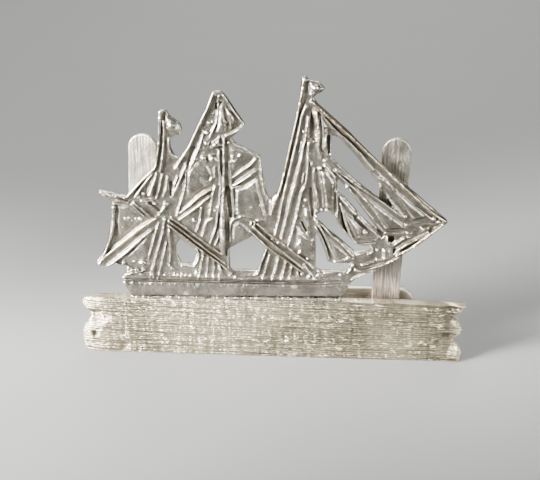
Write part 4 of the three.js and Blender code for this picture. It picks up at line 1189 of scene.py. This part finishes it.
def strip_outline(bottom, top, bend):
    """A blade's strip with its round top end, leaning about its bend line."""
    radius = BLADE_WIDTH / 2
    flat = [(-radius, bottom), (radius, bottom), *half_round(0, top - radius, radius)]
    sine, cosine = math.sin(BLADE_LEAN), math.cos(BLADE_LEAN)
    turned = []
    for u, z in flat:
        rise = z - bend.z
        turned.append((bend.x + u * cosine + rise * sine, bend.z - u * sine + rise * cosine))
    return turned


class BADGE_OT_blades(Operator):
    """Model the two blades, each one strip from its soldered foot to its round tip"""

    bl_idname = "badge.blades"
    bl_label = "Blades"

    def execute(self, context):
        settings = context.scene.badge_strip
        for side in ("left", "right"):
            foot_low, _ = node_box(f"{side}_blade_foot")
            low, high = node_box(f"{side}_blade")
            bend = BEND_AT[f"{side}_blade"]
            outline = strip_outline(foot_low.z + 0.05, high.z, bend)
            strip = cut_strip(outline, low, high, settings.edge / MM,
                              grain=0.1, unevenness=0.1)
            # The right blade's metal is darkened to about half as painted shade; the left one
            # hardly at all.
            material = brushed_strip(f"{side}_blade_metal",
                                     shaded(settings.nickel, BLADE_PAINTED_LIGHTNESS[side]),
                                     tuple(settings.blush), (1, 1, 22), BLUSH_HEIGHT[side])
            finished(strip, f"{side}_blade_strip", material,
                     [f"{side}_blade", f"{side}_blade_foot"], body=None)
            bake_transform(strip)
        return {"FINISHED"}


class BADGE_OT_back_bar(Operator):
    """Model the cross bar behind the blades' feet"""

    bl_idname = "badge.back_bar"
    bl_label = "Back bar"

    def execute(self, context):
        settings = context.scene.badge_strip
        radius = (BAR_HIGH.z - BAR_LOW.z) / 2
        middle = (BAR_HIGH.z + BAR_LOW.z) / 2
        outline = (half_round(BAR_HIGH.x - radius, middle, radius, -0.5)
                   + half_round(BAR_LOW.x + radius, middle, radius, 0.5))
        bar = cut_strip(outline, BAR_LOW, BAR_HIGH, settings.edge / MM,
                        grain=0.12, unevenness=0.08)
        material = brushed_strip("back_bar_metal", tuple(settings.nickel), tuple(settings.blush),
                                 (22, 1, 1), BLUSH_HEIGHT["bar"])
        finished(bar, "back_bar_strip", material, ["back_bar"])
        return {"FINISHED"}


class BADGE_OT_back_solder(Operator):
    """Model the solder behind the plank: under the feet, between feet and bar, and by the bow"""

    bl_idname = "badge.back_solder"
    bl_label = "Back solder"

    def execute(self, context):
        settings = context.scene.badge_solder
        rng = random.Random(11)
        material = bright_solder(tuple(settings.bright))
        names = ["left_foot_solder", "right_foot_solder", "left_bar_solder", "right_bar_solder",
                 "bow_bar_solder"]
        for node in names:
            low, high = node_box(node)
            outline = [(low.x, low.z), (high.x, low.z), (high.x, high.z), (low.x, high.z)]
            parts = [plate(outline, low.y, high.y)]
            depth = high.y - low.y
            middle = (low.y + high.y) / 2
            for i in range(EDGE_LUMPS):
                share = i / EDGE_LUMPS * 4
                side = int(share)
                (x0, z0), (x1, z1) = outline[side], outline[(side + 1) % 4]
                x = x0 + (x1 - x0) * (share - side)
                z = z0 + (z1 - z0) * (share - side)
                parts.append(lump((x, middle, z), rng.uniform(*EDGE_LUMP_RADIUS),
                                  (1, min(1, depth / 0.45), 1)))
            pad = joined(parts)
            melted(pad, grain=0.06, passes=1)
            finished(pad, node + "_run", material, [node])
        return {"FINISHED"}


class BADGE_OT_stage(Operator):
    """Set out the pale floor, the soft lights and the camera"""

    bl_idname = "badge.stage"
    bl_label = "Stage"

    def execute(self, context):
        settings = context.scene.badge_stage
        aim = Vector((0, PLANK_LOW.y * MM, settings.height))
        turn, rise = settings.azimuth, settings.elevation
        back = Vector((math.sin(turn) * math.cos(rise), -math.cos(turn) * math.cos(rise),
                       math.sin(rise)))

        data = bpy.data.cameras.new("camera")
        data.lens = settings.lens
        data.sensor_width = 36
        data.clip_start, data.clip_end = 0.005, 10
        camera = bpy.data.objects.new("camera", data)
        context.scene.collection.objects.link(camera)
        camera.location = aim + back * settings.distance
        camera.rotation_euler = back.to_track_quat("Z", "Y").to_euler()
        context.scene.camera = camera

        bpy.ops.object.select_all(action="DESELECT")
        bpy.ops.mesh.primitive_plane_add(size=FLOOR_SIZE)
        floor = bpy.context.object
        floor.name = "pale_floor"
        edit(floor)
        bpy.ops.mesh.subdivide(number_cuts=3)
        leave_edit()
        floor.data.materials.append(plain_floor(tuple(settings.floor)))

        for light in SOFT_LIGHTS:
            self.soft_light(*light)

        world = bpy.data.worlds.new("studio")
        context.scene.world = world
        world.use_nodes = True
        background = world.node_tree.nodes["Background"]
        background.inputs["Color"].default_value = (1, 1, 1, 1)
        background.inputs["Strength"].default_value = SKY_STRENGTH
        return {"FINISHED"}

    def soft_light(self, name, place, size, watts, spread, aim):
        """A square area light turned towards what it aims at."""
        data = bpy.data.lights.new(name, "AREA")
        data.spread = spread
        data.size = size
        data.energy = watts
        light = bpy.data.objects.new(name, data)
        bpy.context.scene.collection.objects.link(light)
        light.location = place
        towards = Vector(place) - Vector(aim)
        light.rotation_euler = towards.to_track_quat("Z", "Y").to_euler()


class BADGE_PT_panel(Panel):
    """Lists the badge's pieces in the order that they are made"""

    bl_idname = "BADGE_PT_panel"
    bl_label = "Cap badge"
    bl_space_type = "VIEW_3D"
    bl_region_type = "UI"
    bl_category = "Badge"

    def draw(self, context):
        for operator in OPERATORS:
            self.layout.operator(operator.bl_idname)
        for name in SETTINGS:
            group = getattr(context.scene, name)
            box = self.layout.box()
            for key in group.__annotations__:
                box.prop(group, key)


OPERATORS = [
    BADGE_OT_ship, BADGE_OT_plank, BADGE_OT_keel_solder, BADGE_OT_blades, BADGE_OT_back_bar,
    BADGE_OT_back_solder, BADGE_OT_stage,
]
SETTINGS = {
    "badge_ship": ShipSettings,
    "badge_plank": PlankSettings,
    "badge_strip": StripSettings,
    "badge_solder": SolderSettings,
    "badge_stage": StageSettings,
}


def register():
    for group in SETTINGS.values():
        bpy.utils.register_class(group)
    for name, group in SETTINGS.items():
        setattr(bpy.types.Scene, name, PointerProperty(type=group))
    for operator in OPERATORS:
        bpy.utils.register_class(operator)
    bpy.utils.register_class(BADGE_PT_panel)


def unregister():
    bpy.utils.unregister_class(BADGE_PT_panel)
    for operator in reversed(OPERATORS):
        bpy.utils.unregister_class(operator)
    for name, group in SETTINGS.items():
        delattr(bpy.types.Scene, name)
        bpy.utils.unregister_class(group)


def main():
    register()
    bpy.ops.badge.ship()
    bpy.ops.badge.plank()
    bpy.ops.badge.keel_solder()
    bpy.ops.badge.blades()
    bpy.ops.badge.back_bar()
    bpy.ops.badge.back_solder()
    bpy.ops.badge.stage()


if __name__ == "__main__":
    main()
